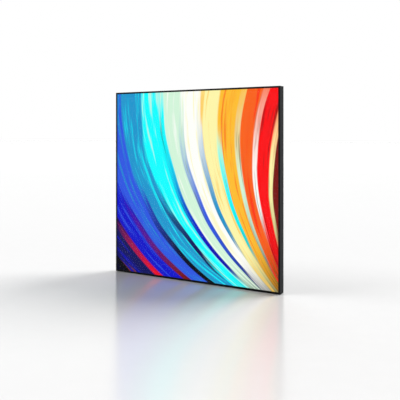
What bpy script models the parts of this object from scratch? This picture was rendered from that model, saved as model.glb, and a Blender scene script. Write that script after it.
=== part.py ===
"""Slim square LED panel light that stands upright on two folding rear feet.

Metres, X to the right as seen from the front, Y to the back, Z up. Everything hangs on one empty,
whose own frame has y 0 on the front face. The origin is the centre of the footprint on the floor.
"""

import math

import bmesh
import bpy
from mathutils import Matrix, Vector

# ---- Overall sizes and clearances ----
PANEL_WIDTH = 0.600
PANEL_HEIGHT = 0.600
GAP = 0.0003  # between two pieces that touch
WELD = 0.00001  # merge distance for meshes and modifiers
ROUND_STEPS = 16  # sides of a small round piece
FULL_TURN = 2 * math.pi

# ---- Frame rails: an extrusion with a front lip, two inner ribs and a rear rim ----
RAIL_WALL = 0.0018
LIP_WIDTH = 0.0055
LIP_THICKNESS = 0.0015
RIB_REACH = 0.011  # from the outer face
RIB_THICKNESS = 0.0012
REAR_RIM = 0.0023  # how far the wall stands behind the back plate
EDGE_RADIUS = 0.0006
MITRE_SETBACK = GAP / math.sqrt(2)

# ---- Sheets, front to back ----
COVER_THICKNESS = 0.003
FILM_THICKNESS = 0.0004
DIFFUSER_THICKNESS = 0.0015
GUIDE_THICKNESS = 0.004
REFLECTOR_THICKNESS = 0.0005
FOAM_THICKNESS = 0.002
KEY_THICKNESS = 0.0044
BACK_PLATE_THICKNESS = 0.001
SHEET_EDGE_GAP = 0.0005  # cover and back plate to the rail wall

# ---- LED strips ----
STRIP_THICKNESS = 0.001
STRIP_BREADTH = 0.0076
STRIP_END_GAP = 0.014  # from the outer face of the side rails
LED_PITCH = 0.0156
LED_LENGTH = 0.0035
LED_BREADTH = 0.0028
LED_HEIGHT = 0.0012
LED_SUNK = 0.0002
LED_TO_GUIDE = 0.0006

# ---- Corner keys and the screws that hold them ----
KEY_ARM = 0.050
SCREW_FROM_CORNER = 0.036
SCREW_RADIUS = 0.0015
SCREW_HEAD_RADIUS = 0.0029
SCREW_HEAD_HEIGHT = 0.0016
SCREW_LENGTH = 0.0068

# ---- Back plate: cooling slots and the mounting plate ----
SLOT_COUNT = 9
SLOT_WIDTH = 0.003
SLOT_HEIGHT = 0.040
SLOT_PITCH = 0.008
SLOT_FROM_TOP = 0.075
SLOT_GROUP_OFFSET = 0.150
MOUNT_SIDE = 0.120
MOUNT_CORNER = 0.008
MOUNT_PITCH = 0.100
MOUNT_HOLE_RADIUS = 0.0021
MOUNT_PROUD = 0.001  # behind the rear rim

# ---- Control box ----
BOX_WIDTH = 0.150
BOX_HEIGHT = 0.076
BOX_DEPTH = 0.0228
BOX_WALL = 0.0012
BOX_FLOOR_HEIGHT = 0.060  # lower edge above the floor
POST_RADIUS = 0.0035
POST_INSET = 0.0042
LID_THICKNESS = 0.0012
LID_CORNER = 0.003
LID_CUTOUT_GAP = 0.0003  # round the switch
LID_SCREW_LENGTH = 0.008
BOARD_THICKNESS = 0.0016
BOARD_SIDE_MARGIN = 0.016  # box wall to the board's edge, along X
BOARD_END_MARGIN = 0.010  # along Z
STANDOFF_HEIGHT = 0.004
STANDOFF_RADIUS = 0.0025
STANDOFF_INSET = 0.006

# ---- Controls ----
KNOB_OFFSETS = {"brightness": -0.018, "colour": 0.016}  # along X from the box's centre
KNOB_RADIUS = 0.0105
KNOB_HEIGHT = 0.013
KNOB_ROOF = 0.003
KNOB_LIFT = 0.0008  # above the lid
KNOB_CHAMFER = 0.0008
POINTER_WIDTH = 0.0012
POINTER_DEPTH = 0.0006
SHAFT_RADIUS = 0.003
POT_SIDE = 0.014
POT_HEIGHT = 0.007
BUSHING_RADIUS = 0.0045
SWITCH_OFFSET = 0.048
SWITCH_WIDTH = 0.0124
SWITCH_LENGTH = 0.0184
SWITCH_TO_BOARD = 0.0049
SWITCH_FLANGE = 0.0013  # on every side
SWITCH_FLANGE_THICKNESS = 0.0015
ROCKER_LENGTH = 0.0144
ROCKER_WIDTH = 0.009
ROCKER_CLEARANCE = 0.0005
ROCKER_TILT = math.radians(9)
TRUNNION_RADIUS = 0.0011
TRUNNION_REACH = 0.0008
PIVOT_BELOW_FLANGE = 0.001

# ---- Power socket, on the control box's right side ----
SOCKET_OFFSET = -0.016  # along Z from the box's centre
SOCKET_RADIUS = 0.0052
SOCKET_FLANGE_RADIUS = 0.007
SOCKET_FLANGE = 0.002
SOCKET_LENGTH = 0.014
SOCKET_BORE = 0.0032
SOCKET_DEPTH = 0.010
SOCKET_PIN_RADIUS = 0.001

# ---- Leads from the LED strips to the board ----
LEAD_RADIUS = 0.0008
LEAD_OFFSET = -0.066  # along X
LEAD_ENTRY = 0.018  # along Z from the box's centre
LEAD_HOLE_RADIUS = 0.003
LEAD_NOTCH_HALF = 0.0016
HEADER_OFFSET = -0.050
HEADER_WIDTH = 0.008
HEADER_LENGTH = 0.044
HEADER_HEIGHT = 0.009
POWER_LEAD_SPREAD = 0.003  # between the two leads at the switch

# ---- Large components on the board, placed from the box's centre ----
TALL_PART_TO_LID = 0.0027
CAPACITOR_RADIUS = 0.005
CAPACITOR_RIM = 0.0006
CAPACITOR_PLACE = (-0.034, 0.016)
INDUCTOR_RADIUS = 0.0058
WINDING_RADIUS = 0.0026
INDUCTOR_PLACE = (-0.034, -0.014)
HEAT_SINK_OFFSET = 0.0315  # along X
HEAT_SINK_WIDTH = 0.013
HEAT_SINK_LENGTH = 0.044
FIN_COUNT = 4
FIN_THICKNESS = 0.0014
HEAT_SINK_BASE = 0.0028

# ---- Folding rear feet ----
FOOT_REACH = 0.124  # pin to the arm's tip
FOLDED_MARGIN = 0.026  # folded tip to the panel's side
PIN_RADIUS = 0.003
PIN_HEAD = 0.0012
PIN_TO_PLATE = 0.009  # back plate's rear face to the pin's axis
PIN_CLEARANCE = 0.0003
BRACKET_WIDTH = 0.034
BRACKET_THICKNESS = 0.002
BRACKET_LOW = 0.014
BRACKET_HIGH = 0.056
EAR_HALF = 0.0065
ARM_THICKNESS = 0.003
BARREL_RADIUS = 0.0056
BARREL_END_GAP = 0.0004
ARM_TOE_LENGTH = 0.034
ARM_TOE_HEIGHT = 0.012
PAD_LENGTH = 0.028
PAD_WIDTH = 0.009
PAD_UNDER = 0.0055  # rubber under the arm
PAD_LIP = 0.004  # how far the rubber reaches up the arm
BASE_PAD_THICKNESS = 0.001
BASE_PAD_LENGTH = 0.080
BASE_PAD_BREADTH = 0.018
BASE_PAD_INSET = 0.030

# ---- Depth stations, measured back from the front face ----
COVER_Y = LIP_THICKNESS + GAP
FILM_Y = COVER_Y + COVER_THICKNESS + GAP
DIFFUSER_Y = FILM_Y + FILM_THICKNESS + GAP
GUIDE_Y = DIFFUSER_Y + DIFFUSER_THICKNESS + GAP
REFLECTOR_Y = GUIDE_Y + GUIDE_THICKNESS + GAP
FOAM_Y = REFLECTOR_Y + REFLECTOR_THICKNESS + GAP
FRONT_RIB_Y = FOAM_Y + FOAM_THICKNESS + GAP
KEY_Y = FRONT_RIB_Y + RIB_THICKNESS + GAP
REAR_RIB_Y = KEY_Y + KEY_THICKNESS + GAP
PLATE_Y = REAR_RIB_Y + RIB_THICKNESS + GAP
PLATE_BACK_Y = PLATE_Y + BACK_PLATE_THICKNESS
PANEL_DEPTH = PLATE_BACK_Y + REAR_RIM
ON_PLATE_Y = PLATE_BACK_Y + GAP
LID_Y = ON_PLATE_Y + BOX_DEPTH + GAP
LID_BACK_Y = LID_Y + LID_THICKNESS
BOARD_Y = ON_PLATE_Y + BOX_WALL + STANDOFF_HEIGHT + GAP
ON_BOARD_Y = BOARD_Y + BOARD_THICKNESS + GAP
TALL_PART_HEIGHT = LID_Y - TALL_PART_TO_LID - ON_BOARD_Y
SWITCH_FRONT_Y = ON_BOARD_Y + SWITCH_TO_BOARD
PIN_Y = PLATE_BACK_Y + PIN_TO_PLATE

# ---- Heights and the footprint ----
PANEL_BOTTOM = BASE_PAD_THICKNESS + GAP
PANEL_TOP = PANEL_BOTTOM + PANEL_HEIGHT
PANEL_MIDDLE = (PANEL_BOTTOM + PANEL_TOP) / 2
BOX_MIDDLE = BOX_FLOOR_HEIGHT + BOX_HEIGHT / 2
PIN_X = PANEL_WIDTH / 2 - FOLDED_MARGIN - FOOT_REACH
FOOTPRINT_DEPTH = PIN_Y + FOOT_REACH

# ---- Places across the rails ----
GUIDE_INSET = RAIL_WALL + GAP + STRIP_THICKNESS + LED_HEIGHT - LED_SUNK + LED_TO_GUIDE
DIFFUSER_INSET = RAIL_WALL + GAP + STRIP_THICKNESS + SHEET_EDGE_GAP
COVER_INSET = RAIL_WALL + SHEET_EDGE_GAP
SCREW_INSET = (RAIL_WALL + RIB_REACH) / 2
STRIP_Y = DIFFUSER_Y

BACKWARD = (-math.pi / 2, 0, 0)  # turns a piece's own Z axis to the panel's back

MATERIALS = {  # base colour, roughness, metallic
    "frame_coat": ((0.030, 0.031, 0.033), 0.45, 0.0),
    "clear_acrylic": ((0.90, 0.94, 0.95), 0.05, 0.0),
    "printed_film": ((0.05, 0.55, 0.75), 0.40, 0.0),
    "opal_sheet": ((0.90, 0.90, 0.88), 0.60, 0.0),
    "white_foam": ((0.80, 0.80, 0.78), 0.90, 0.0),
    "zinc_plated": ((0.60, 0.61, 0.62), 0.35, 1.0),
    "black_sheet": ((0.045, 0.046, 0.048), 0.50, 0.0),
    "black_steel": ((0.045, 0.046, 0.048), 0.40, 0.0),
    "black_screw": ((0.060, 0.060, 0.062), 0.35, 1.0),
    "black_plastic": ((0.025, 0.025, 0.026), 0.50, 0.0),
    "circuit_board": ((0.020, 0.160, 0.060), 0.40, 0.0),
    "white_board": ((0.80, 0.80, 0.76), 0.45, 0.0),
    "bare_aluminium": ((0.75, 0.76, 0.77), 0.35, 1.0),
    "copper_winding": ((0.72, 0.33, 0.16), 0.35, 1.0),
    "rubber": ((0.020, 0.020, 0.020), 0.85, 0.0),
    "lead_sleeve": ((0.550, 0.030, 0.030), 0.50, 0.0),
}


# ---------------------------------------------------------------- scene and materials
def clear_scene():
    for obj in list(bpy.data.objects):
        bpy.data.objects.remove(obj, do_unlink=True)


def new_collection(name):
    collection = bpy.data.collections.new(name)
    bpy.context.scene.collection.children.link(collection)
    return collection


def make_material(name):
    colour, roughness, metallic = MATERIALS[name]
    material = bpy.data.materials.new(name)
    material.use_nodes = True
    shader = material.node_tree.nodes["Principled BSDF"]
    shader.inputs["Base Color"].default_value = (*colour, 1.0)
    shader.inputs["Roughness"].default_value = roughness
    shader.inputs["Metallic"].default_value = metallic
    return material


clear_scene()
PARTS = new_collection("led_panel_light")
CUTTERS = new_collection("cutters")
PAINTS = {name: make_material(name) for name in MATERIALS}
PANEL = bpy.data.objects.new("panel_front", None)
PANEL.location = (0, -FOOTPRINT_DEPTH / 2, 0)
PARTS.objects.link(PANEL)


# ---------------------------------------------------------------- shapes
def add_part(name, data, paint, location=(0, 0, 0), turn=(0, 0, 0)):
    obj = bpy.data.objects.new(name, data)
    obj.data.materials.clear()
    obj.data.materials.append(PAINTS[paint])
    obj.location = location
    obj.rotation_euler = turn
    obj.parent = PANEL
    PARTS.objects.link(obj)
    return obj


def as_cutter(mesh, location=(0, 0, 0), turn=(0, 0, 0)):
    obj = bpy.data.objects.new("cutter", mesh)
    obj.location = location
    obj.rotation_euler = turn
    obj.parent = PANEL
    obj.hide_render = True
    obj.display_type = "WIRE"
    CUTTERS.objects.link(obj)
    return obj


def combine(target, tool, operation):
    modifier = target.modifiers.new(operation.lower(), "BOOLEAN")
    modifier.operation = operation
    modifier.object = tool
    return modifier


def cut(target, *tools):
    for tool in tools:
        combine(target, tool, "DIFFERENCE")


def join(target, *tools):
    for tool in tools:
        combine(target, tool, "UNION")


def box_mesh(low, high):
    """A box between two corners."""
    size = [b - a for a, b in zip(low, high)]
    middle = [(a + b) / 2 for a, b in zip(low, high)]
    matrix = Matrix.Translation(middle) @ Matrix.Diagonal((*size, 1.0))
    shape = bmesh.new()
    bmesh.ops.create_cube(shape, size=1.0, matrix=matrix)
    mesh = bpy.data.meshes.new("box")
    shape.to_mesh(mesh)
    shape.free()
    return mesh


def rod_mesh(radius, start, end, along, steps=ROUND_STEPS):
    """A round rod along an axis, between two stations on it, through the object's origin."""
    turn = {
        "X": Matrix.Rotation(math.pi / 2, 4, "Y"),
        "Y": Matrix.Rotation(-math.pi / 2, 4, "X"),
        "Z": Matrix.Identity(4),
    }[along]
    matrix = turn @ Matrix.Translation((0, 0, (start + end) / 2))
    shape = bmesh.new()
    bmesh.ops.create_cone(
        shape, cap_ends=True, segments=steps, radius1=radius, radius2=radius,
        depth=end - start, matrix=matrix,
    )
    mesh = bpy.data.meshes.new("rod")
    shape.to_mesh(mesh)
    shape.free()
    return mesh


def circle(x, y, radius, steps=ROUND_STEPS):
    angles = [FULL_TURN * i / steps for i in range(steps)]
    return [(x + radius * math.cos(a), y + radius * math.sin(a)) for a in angles]


def rounded_rectangle(x, y, width, height, radius, corner_steps=3):
    """The corners leave a short straight stretch on each side, however narrow it is."""
    radius = min(radius, 0.49 * width, 0.49 * height)
    points = []
    for quarter, (sx, sy) in enumerate(((1, 1), (-1, 1), (-1, -1), (1, -1))):
        centre_x = x + sx * (width / 2 - radius)
        centre_y = y + sy * (height / 2 - radius)
        for step in range(corner_steps + 1):
            angle = (quarter + step / corner_steps) * math.pi / 2
            points.append((centre_x + radius * math.cos(angle), centre_y + radius * math.sin(angle)))
    return points


def rectangle(x, y, width, height):
    return [(x + sx * width / 2, y + sy * height / 2) for sx, sy in ((1, 1), (-1, 1), (-1, -1), (1, -1))]


def add_spline(curve, points, closed):
    spline = curve.splines.new("POLY")
    spline.points.add(len(points) - 1)
    for target, point in zip(spline.points, points):
        target.co = (*point, *[0.0] * (3 - len(point)), 1.0)
    spline.use_cyclic_u = closed


def outline_mesh(outlines, thickness, turn="upright"):
    """A flat sheet with holes, from closed outlines, centred on its thickness.

    upright: outline x, y become X, Z and the thickness lies along Y.
    side: outline x, y become Y, Z and the thickness lies along X.
    rail: outline x, y become Z, Y and the thickness lies along X.
    flat: outline x, y stay X, Y and the thickness lies along Z.
    """
    curve = bpy.data.curves.new("outline", "CURVE")
    curve.dimensions = "2D"
    curve.fill_mode = "BOTH"
    curve.extrude = thickness / 2
    for outline in outlines:
        add_spline(curve, outline, closed=True)
    obj = bpy.data.objects.new("outline", curve)
    bpy.context.scene.collection.objects.link(obj)
    bpy.context.view_layer.update()
    mesh = bpy.data.meshes.new_from_object(obj.evaluated_get(bpy.context.evaluated_depsgraph_get()))
    bpy.data.objects.remove(obj)
    shape = bmesh.new()
    shape.from_mesh(mesh)
    bmesh.ops.remove_doubles(shape, verts=shape.verts, dist=WELD)
    upright = Matrix.Rotation(math.pi / 2, 4, "X")
    turns = {
        "upright": upright,
        "side": Matrix.Rotation(math.pi / 2, 4, "Z") @ upright,
        "rail": Matrix.Rotation(-math.pi / 2, 4, "Y"),
        "flat": Matrix.Identity(4),
    }
    bmesh.ops.transform(shape, matrix=turns[turn], verts=shape.verts)
    shape.to_mesh(mesh)
    shape.free()
    return mesh


def turned(name, profile, paint, location, turn=(0, 0, 0), steps=ROUND_STEPS):
    """A turned piece: (radius, height) down its outer side, spun about its own Z axis."""
    mesh = bpy.data.meshes.new(name)
    points = [(radius, 0.0, height) for radius, height in profile]
    edges = [(i, i + 1) for i in range(len(points) - 1)]
    mesh.from_pydata(points, edges, [])
    obj = add_part(name, mesh, paint, location, turn)
    spin = obj.modifiers.new("spin", "SCREW")
    spin.steps = steps
    spin.render_steps = steps
    spin.use_merge_vertices = True
    spin.merge_threshold = WELD
    return obj


def smooth_line(points, per_span=4):
    """Points on a centripetal Catmull-Rom curve, which doesn't overshoot at uneven spacing."""
    points = [Vector(point) for point in points]
    points = [2 * points[0] - points[1], *points, 2 * points[-1] - points[-2]]
    knots = [0.0]
    for a, b in zip(points, points[1:]):
        knots.append(knots[-1] + math.sqrt((b - a).length))

    def between(a, b, start, end, t):
        return a.lerp(b, (t - start) / (end - start))

    line = []
    for i in range(1, len(points) - 2):
        a, b, c, d = points[i - 1:i + 3]
        t0, t1, t2, t3 = knots[i - 1:i + 3]
        for step in range(per_span):
            t = t1 + (t2 - t1) * step / per_span
            ab = between(a, b, t0, t1, t)
            bc = between(b, c, t1, t2, t)
            cd = between(c, d, t2, t3, t)
            line.append(between(between(ab, bc, t0, t2, t), between(bc, cd, t1, t3, t), t1, t2, t))
    line.append(points[-2])
    return line


def wire(name, points, radius, paint):
    """A round wire on a smooth line through the given points."""
    curve = bpy.data.curves.new(name, "CURVE")
    curve.dimensions = "3D"
    curve.bevel_depth = radius
    curve.bevel_resolution = 2
    curve.use_fill_caps = True
    add_spline(curve, smooth_line(points), closed=False)
    return add_part(name, curve, paint)


# ---------------------------------------------------------------- frame
def corner_arc(x, y, radius, first_quarter, steps=3):
    angles = [(first_quarter + i / steps) * math.pi / 2 for i in range(steps + 1)]
    return [(x + radius * math.cos(a), y + radius * math.sin(a)) for a in angles]


def rail_outline():
    """(distance in from the outer face, depth from the front face) round the extrusion."""
    front_rib_back = FRONT_RIB_Y + RIB_THICKNESS
    rear_rib_back = REAR_RIB_Y + RIB_THICKNESS
    return [
        *corner_arc(EDGE_RADIUS, EDGE_RADIUS, EDGE_RADIUS, 2),
        (LIP_WIDTH, 0),
        (LIP_WIDTH, LIP_THICKNESS),
        (RAIL_WALL, LIP_THICKNESS),
        (RAIL_WALL, FRONT_RIB_Y),
        (RIB_REACH, FRONT_RIB_Y),
        (RIB_REACH, front_rib_back),
        (RAIL_WALL, front_rib_back),
        (RAIL_WALL, REAR_RIB_Y),
        (RIB_REACH, REAR_RIB_Y),
        (RIB_REACH, rear_rib_back),
        (RAIL_WALL, rear_rib_back),
        (RAIL_WALL, PANEL_DEPTH),
        *corner_arc(EDGE_RADIUS, PANEL_DEPTH - EDGE_RADIUS, EDGE_RADIUS, 1),
    ]


RAILS = {  # length, place of the outer front edge, turn about Y
    "bottom": (PANEL_WIDTH, (0, 0, PANEL_BOTTOM), 0),
    "right": (PANEL_HEIGHT, (PANEL_WIDTH / 2, 0, PANEL_MIDDLE), -math.pi / 2),
    "top": (PANEL_WIDTH, (0, 0, PANEL_TOP), math.pi),
    "left": (PANEL_HEIGHT, (-PANEL_WIDTH / 2, 0, PANEL_MIDDLE), math.pi / 2),
}


def on_rail(side, along, inset, depth):
    """The place in the panel's frame of a point on a rail."""
    _, place, turn = RAILS[side]
    matrix = Matrix.Translation(place) @ Matrix.Rotation(turn, 4, "Y")
    return matrix @ Matrix.Translation((along, depth, inset)).to_translation()


def make_rail(side):
    length, place, turn = RAILS[side]
    mesh = outline_mesh([rail_outline()], length, "rail")
    for vertex in mesh.vertices:
        half = length / 2 - vertex.co.z - MITRE_SETBACK
        vertex.co.x = math.copysign(half, vertex.co.x)
    rail = add_part(f"frame_rail_{side}", mesh, "frame_coat", place, (0, turn, 0))
    for along in screw_stations(length):
        hole = rod_mesh(SCREW_RADIUS + GAP, REAR_RIB_Y - GAP, PLATE_Y, "Y")
        cut(rail, as_cutter(hole, on_rail(side, along, SCREW_INSET, 0)))
    return rail


def screw_stations(length):
    return (-(length / 2 - SCREW_FROM_CORNER), length / 2 - SCREW_FROM_CORNER)


def cut_lead_notch(rail, side):
    """Lets a lead out of the strip's channel, through the front rib."""
    height = PANEL_BOTTOM if side == "bottom" else PANEL_TOP
    reach = RIB_REACH / 2 if side == "bottom" else -RIB_REACH / 2
    wall = RAIL_WALL + GAP if side == "bottom" else -RAIL_WALL - GAP
    ends = sorted((height + wall, height + reach))
    low = (LEAD_OFFSET - LEAD_NOTCH_HALF, FRONT_RIB_Y - GAP, ends[0])
    high = (LEAD_OFFSET + LEAD_NOTCH_HALF, FRONT_RIB_Y + RIB_THICKNESS + GAP, ends[1])
    cut(rail, as_cutter(box_mesh(low, high)))


def make_corner_key(name, sign_x, sign_z):
    """An L that slides into both rails of one corner, with a hole for each rail's screw."""
    near = RAIL_WALL + GAP
    far = RIB_REACH - GAP
    outline = [(near, near), (KEY_ARM, near), (KEY_ARM, far), (far, far), (far, KEY_ARM), (near, KEY_ARM)]
    holes = [
        circle(SCREW_FROM_CORNER, SCREW_INSET, SCREW_RADIUS + GAP),
        circle(SCREW_INSET, SCREW_FROM_CORNER, SCREW_RADIUS + GAP),
    ]
    corner_x = sign_x * PANEL_WIDTH / 2
    corner_z = PANEL_MIDDLE + sign_z * PANEL_HEIGHT / 2
    placed = [
        [(corner_x - sign_x * x, corner_z - sign_z * z) for x, z in loop]
        for loop in (outline, *holes)
    ]
    mesh = outline_mesh(placed, KEY_THICKNESS)
    return add_part(name, mesh, "zinc_plated", (0, KEY_Y + KEY_THICKNESS / 2, 0))


def make_screw(name, place, length):
    """A pan-head screw whose head sits behind the given place and whose shank runs forward."""
    profile = [
        (0, SCREW_HEAD_HEIGHT),
        (SCREW_HEAD_RADIUS * 0.7, SCREW_HEAD_HEIGHT),
        (SCREW_HEAD_RADIUS, SCREW_HEAD_HEIGHT * 0.5),
        (SCREW_HEAD_RADIUS, 0),
        (SCREW_RADIUS, 0),
        (SCREW_RADIUS, -length),
        (0, -length),
    ]
    turned(name, profile, "black_screw", place, BACKWARD, steps=12)


def make_frame():
    rails = {side: make_rail(side) for side in RAILS}
    for side in ("bottom", "top"):
        cut_lead_notch(rails[side], side)
    for side_z, sign_z in (("bottom", -1), ("top", 1)):
        for side_x, sign_x in (("left", -1), ("right", 1)):
            make_corner_key(f"corner_key_{side_z}_{side_x}", sign_x, sign_z)
    for side, (length, _, _) in RAILS.items():
        for number, along in enumerate(screw_stations(length), 1):
            place = on_rail(side, along, SCREW_INSET, PLATE_BACK_Y + GAP)
            make_screw(f"back_screw_{side}_{number}", place, SCREW_LENGTH)


# ---------------------------------------------------------------- sheets and lighting
def make_sheet(name, inset, front, thickness, paint):
    low = (-PANEL_WIDTH / 2 + inset, front, PANEL_BOTTOM + inset)
    high = (PANEL_WIDTH / 2 - inset, front + thickness, PANEL_TOP - inset)
    return add_part(name, box_mesh(low, high), paint)


def make_led_strip(side):
    """A narrow board on the rail's wall with a row of LEDs that shine into the light guide."""
    length, place, turn = RAILS[side]
    half = length / 2 - STRIP_END_GAP
    base = RAIL_WALL + GAP
    top = base + STRIP_THICKNESS
    strip_mesh = box_mesh((-half, STRIP_Y, base), (half, STRIP_Y + STRIP_BREADTH, top))
    strip = add_part(f"led_strip_{side}", strip_mesh, "white_board", place, (0, turn, 0))
    middle_y = GUIDE_Y + GUIDE_THICKNESS / 2
    count = int((2 * half - LED_LENGTH) / LED_PITCH)
    leds = bmesh.new()
    for number in range(count):
        along = (number - (count - 1) / 2) * LED_PITCH
        size = (LED_LENGTH, LED_BREADTH, LED_HEIGHT, 1.0)
        centre = (along, middle_y, top - LED_SUNK + LED_HEIGHT / 2)
        bmesh.ops.create_cube(leds, size=1.0, matrix=Matrix.Translation(centre) @ Matrix.Diagonal(size))
    led_mesh = bpy.data.meshes.new("leds")
    leds.to_mesh(led_mesh)
    leds.free()
    join(strip, as_cutter(led_mesh, place, (0, turn, 0)))
    return strip


def make_sheets():
    make_sheet("front_cover", COVER_INSET, COVER_Y, COVER_THICKNESS, "clear_acrylic")
    make_sheet("picture_film", COVER_INSET, FILM_Y, FILM_THICKNESS, "printed_film")
    make_sheet("diffuser_sheet", DIFFUSER_INSET, DIFFUSER_Y, DIFFUSER_THICKNESS, "opal_sheet")
    make_sheet("light_guide", GUIDE_INSET, GUIDE_Y, GUIDE_THICKNESS, "clear_acrylic")
    make_sheet("reflector_sheet", GUIDE_INSET, REFLECTOR_Y, REFLECTOR_THICKNESS, "opal_sheet")
    make_sheet("foam_backing", GUIDE_INSET, FOAM_Y, FOAM_THICKNESS, "white_foam")
    for side in ("bottom", "top"):
        make_led_strip(side)


# ---------------------------------------------------------------- back
def slot_outlines():
    outlines = []
    for group in (-1, 1):
        for number in range(SLOT_COUNT):
            x = group * SLOT_GROUP_OFFSET + (number - (SLOT_COUNT - 1) / 2) * SLOT_PITCH
            z = PANEL_TOP - SLOT_FROM_TOP
            outlines.append(rounded_rectangle(x, z, SLOT_WIDTH, SLOT_HEIGHT, SLOT_WIDTH / 2, 2))
    return outlines


def lead_entries():
    return (BOX_MIDDLE - LEAD_ENTRY, BOX_MIDDLE + LEAD_ENTRY)


def make_back_plate():
    inset = COVER_INSET
    outlines = [rectangle(0, PANEL_MIDDLE, PANEL_WIDTH - 2 * inset, PANEL_HEIGHT - 2 * inset)]
    for side, (length, _, _) in RAILS.items():
        for along in screw_stations(length):
            place = on_rail(side, along, SCREW_INSET, 0)
            outlines.append(circle(place.x, place.z, SCREW_RADIUS + GAP))
    outlines += [circle(LEAD_OFFSET, z, LEAD_HOLE_RADIUS) for z in lead_entries()]
    outlines += slot_outlines()
    mesh = outline_mesh(outlines, BACK_PLATE_THICKNESS)
    add_part("back_plate", mesh, "black_sheet", (0, PLATE_Y + BACK_PLATE_THICKNESS / 2, 0))


def make_mount_plate():
    """The plate that a stand's or a wall arm's bracket bolts to, just proud of the rear rim."""
    half = MOUNT_PITCH / 2
    outlines = [rounded_rectangle(0, PANEL_MIDDLE, MOUNT_SIDE, MOUNT_SIDE, MOUNT_CORNER)]
    for x, z in rectangle(0, PANEL_MIDDLE, 2 * half, 2 * half):
        outlines.append(circle(x, z, MOUNT_HOLE_RADIUS))
    back = PANEL_DEPTH + MOUNT_PROUD
    mesh = outline_mesh(outlines, back - ON_PLATE_Y)
    add_part("mount_plate", mesh, "black_steel", (0, (back + ON_PLATE_Y) / 2, 0))


def make_base_pads():
    """Rubber pads under the bottom rail, set in from its front edge."""
    middle = PANEL_DEPTH / 2
    for side, sign in (("left", -1), ("right", 1)):
        x = sign * (PANEL_WIDTH / 2 - BASE_PAD_INSET - BASE_PAD_LENGTH / 2)
        low = (x - BASE_PAD_LENGTH / 2, middle - BASE_PAD_BREADTH / 2, 0)
        high = (x + BASE_PAD_LENGTH / 2, middle + BASE_PAD_BREADTH / 2, BASE_PAD_THICKNESS)
        add_part(f"base_pad_{side}", box_mesh(low, high), "rubber")


# ---------------------------------------------------------------- control box
def box_corners(inset):
    return rectangle(0, BOX_MIDDLE, BOX_WIDTH - 2 * inset, BOX_HEIGHT - 2 * inset)


def board_size():
    inner_width = BOX_WIDTH - 2 * BOX_WALL
    inner_height = BOX_HEIGHT - 2 * BOX_WALL
    return inner_width - 2 * (BOARD_SIDE_MARGIN - BOX_WALL), inner_height - 2 * (BOARD_END_MARGIN - BOX_WALL)


def standoff_corners():
    width, height = board_size()
    return rectangle(0, BOX_MIDDLE, width - 2 * STANDOFF_INSET, height - 2 * STANDOFF_INSET)


def make_box_body():
    """A tray open to the back, with screw posts in its corners and standoffs for the board."""
    mouth = ON_PLATE_Y + BOX_DEPTH
    low = (-BOX_WIDTH / 2, ON_PLATE_Y, BOX_MIDDLE - BOX_HEIGHT / 2)
    high = (BOX_WIDTH / 2, mouth, BOX_MIDDLE + BOX_HEIGHT / 2)
    mesh = box_mesh(low, high)
    shape = bmesh.new()
    shape.from_mesh(mesh)
    open_side = [face for face in shape.faces if face.normal.y > 0.5]
    bmesh.ops.delete(shape, geom=open_side, context="FACES")
    shape.to_mesh(mesh)
    shape.free()
    body = add_part("control_box_body", mesh, "black_sheet")
    wall = body.modifiers.new("wall", "SOLIDIFY")
    wall.thickness = BOX_WALL
    wall.offset = -1
    wall.use_even_offset = True
    floor = ON_PLATE_Y + BOX_WALL / 2
    for x, z in box_corners(POST_INSET):
        join(body, as_cutter(rod_mesh(POST_RADIUS, floor, mouth - GAP, "Y"), (x, 0, z)))
        hole_start = mouth - LID_SCREW_LENGTH
        cut(body, as_cutter(rod_mesh(SCREW_RADIUS + GAP, hole_start, mouth + GAP, "Y"), (x, 0, z)))
    standoff_top = ON_PLATE_Y + BOX_WALL + STANDOFF_HEIGHT
    for x, z in standoff_corners():
        join(body, as_cutter(rod_mesh(STANDOFF_RADIUS, floor, standoff_top, "Y", 12), (x, 0, z)))
    for z in lead_entries():
        hole = rod_mesh(LEAD_HOLE_RADIUS, ON_PLATE_Y - GAP, ON_PLATE_Y + 2 * BOX_WALL, "Y")
        cut(body, as_cutter(hole, (LEAD_OFFSET, 0, z)))
    wall_x = BOX_WIDTH / 2
    socket_hole = rod_mesh(SOCKET_RADIUS + GAP, wall_x - 2 * BOX_WALL, wall_x + GAP, "X")
    cut(body, as_cutter(socket_hole, (0, socket_y(), BOX_MIDDLE + SOCKET_OFFSET)))


def make_box_lid():
    outlines = [rounded_rectangle(0, BOX_MIDDLE, BOX_WIDTH, BOX_HEIGHT, LID_CORNER)]
    outlines += [circle(x, z, SCREW_RADIUS + GAP) for x, z in box_corners(POST_INSET)]
    outlines += [circle(x, BOX_MIDDLE, SHAFT_RADIUS + 2 * GAP, 24) for x in KNOB_OFFSETS.values()]
    cutout = (SWITCH_WIDTH + 2 * LID_CUTOUT_GAP, SWITCH_LENGTH + 2 * LID_CUTOUT_GAP)
    outlines.append(rectangle(SWITCH_OFFSET, BOX_MIDDLE, *cutout))
    mesh = outline_mesh(outlines, LID_THICKNESS)
    add_part("control_box_lid", mesh, "black_sheet", (0, LID_Y + LID_THICKNESS / 2, 0))
    for number, (x, z) in enumerate(box_corners(POST_INSET), 1):
        make_screw(f"lid_screw_{number}", (x, LID_BACK_Y + GAP, z), LID_SCREW_LENGTH)


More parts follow.
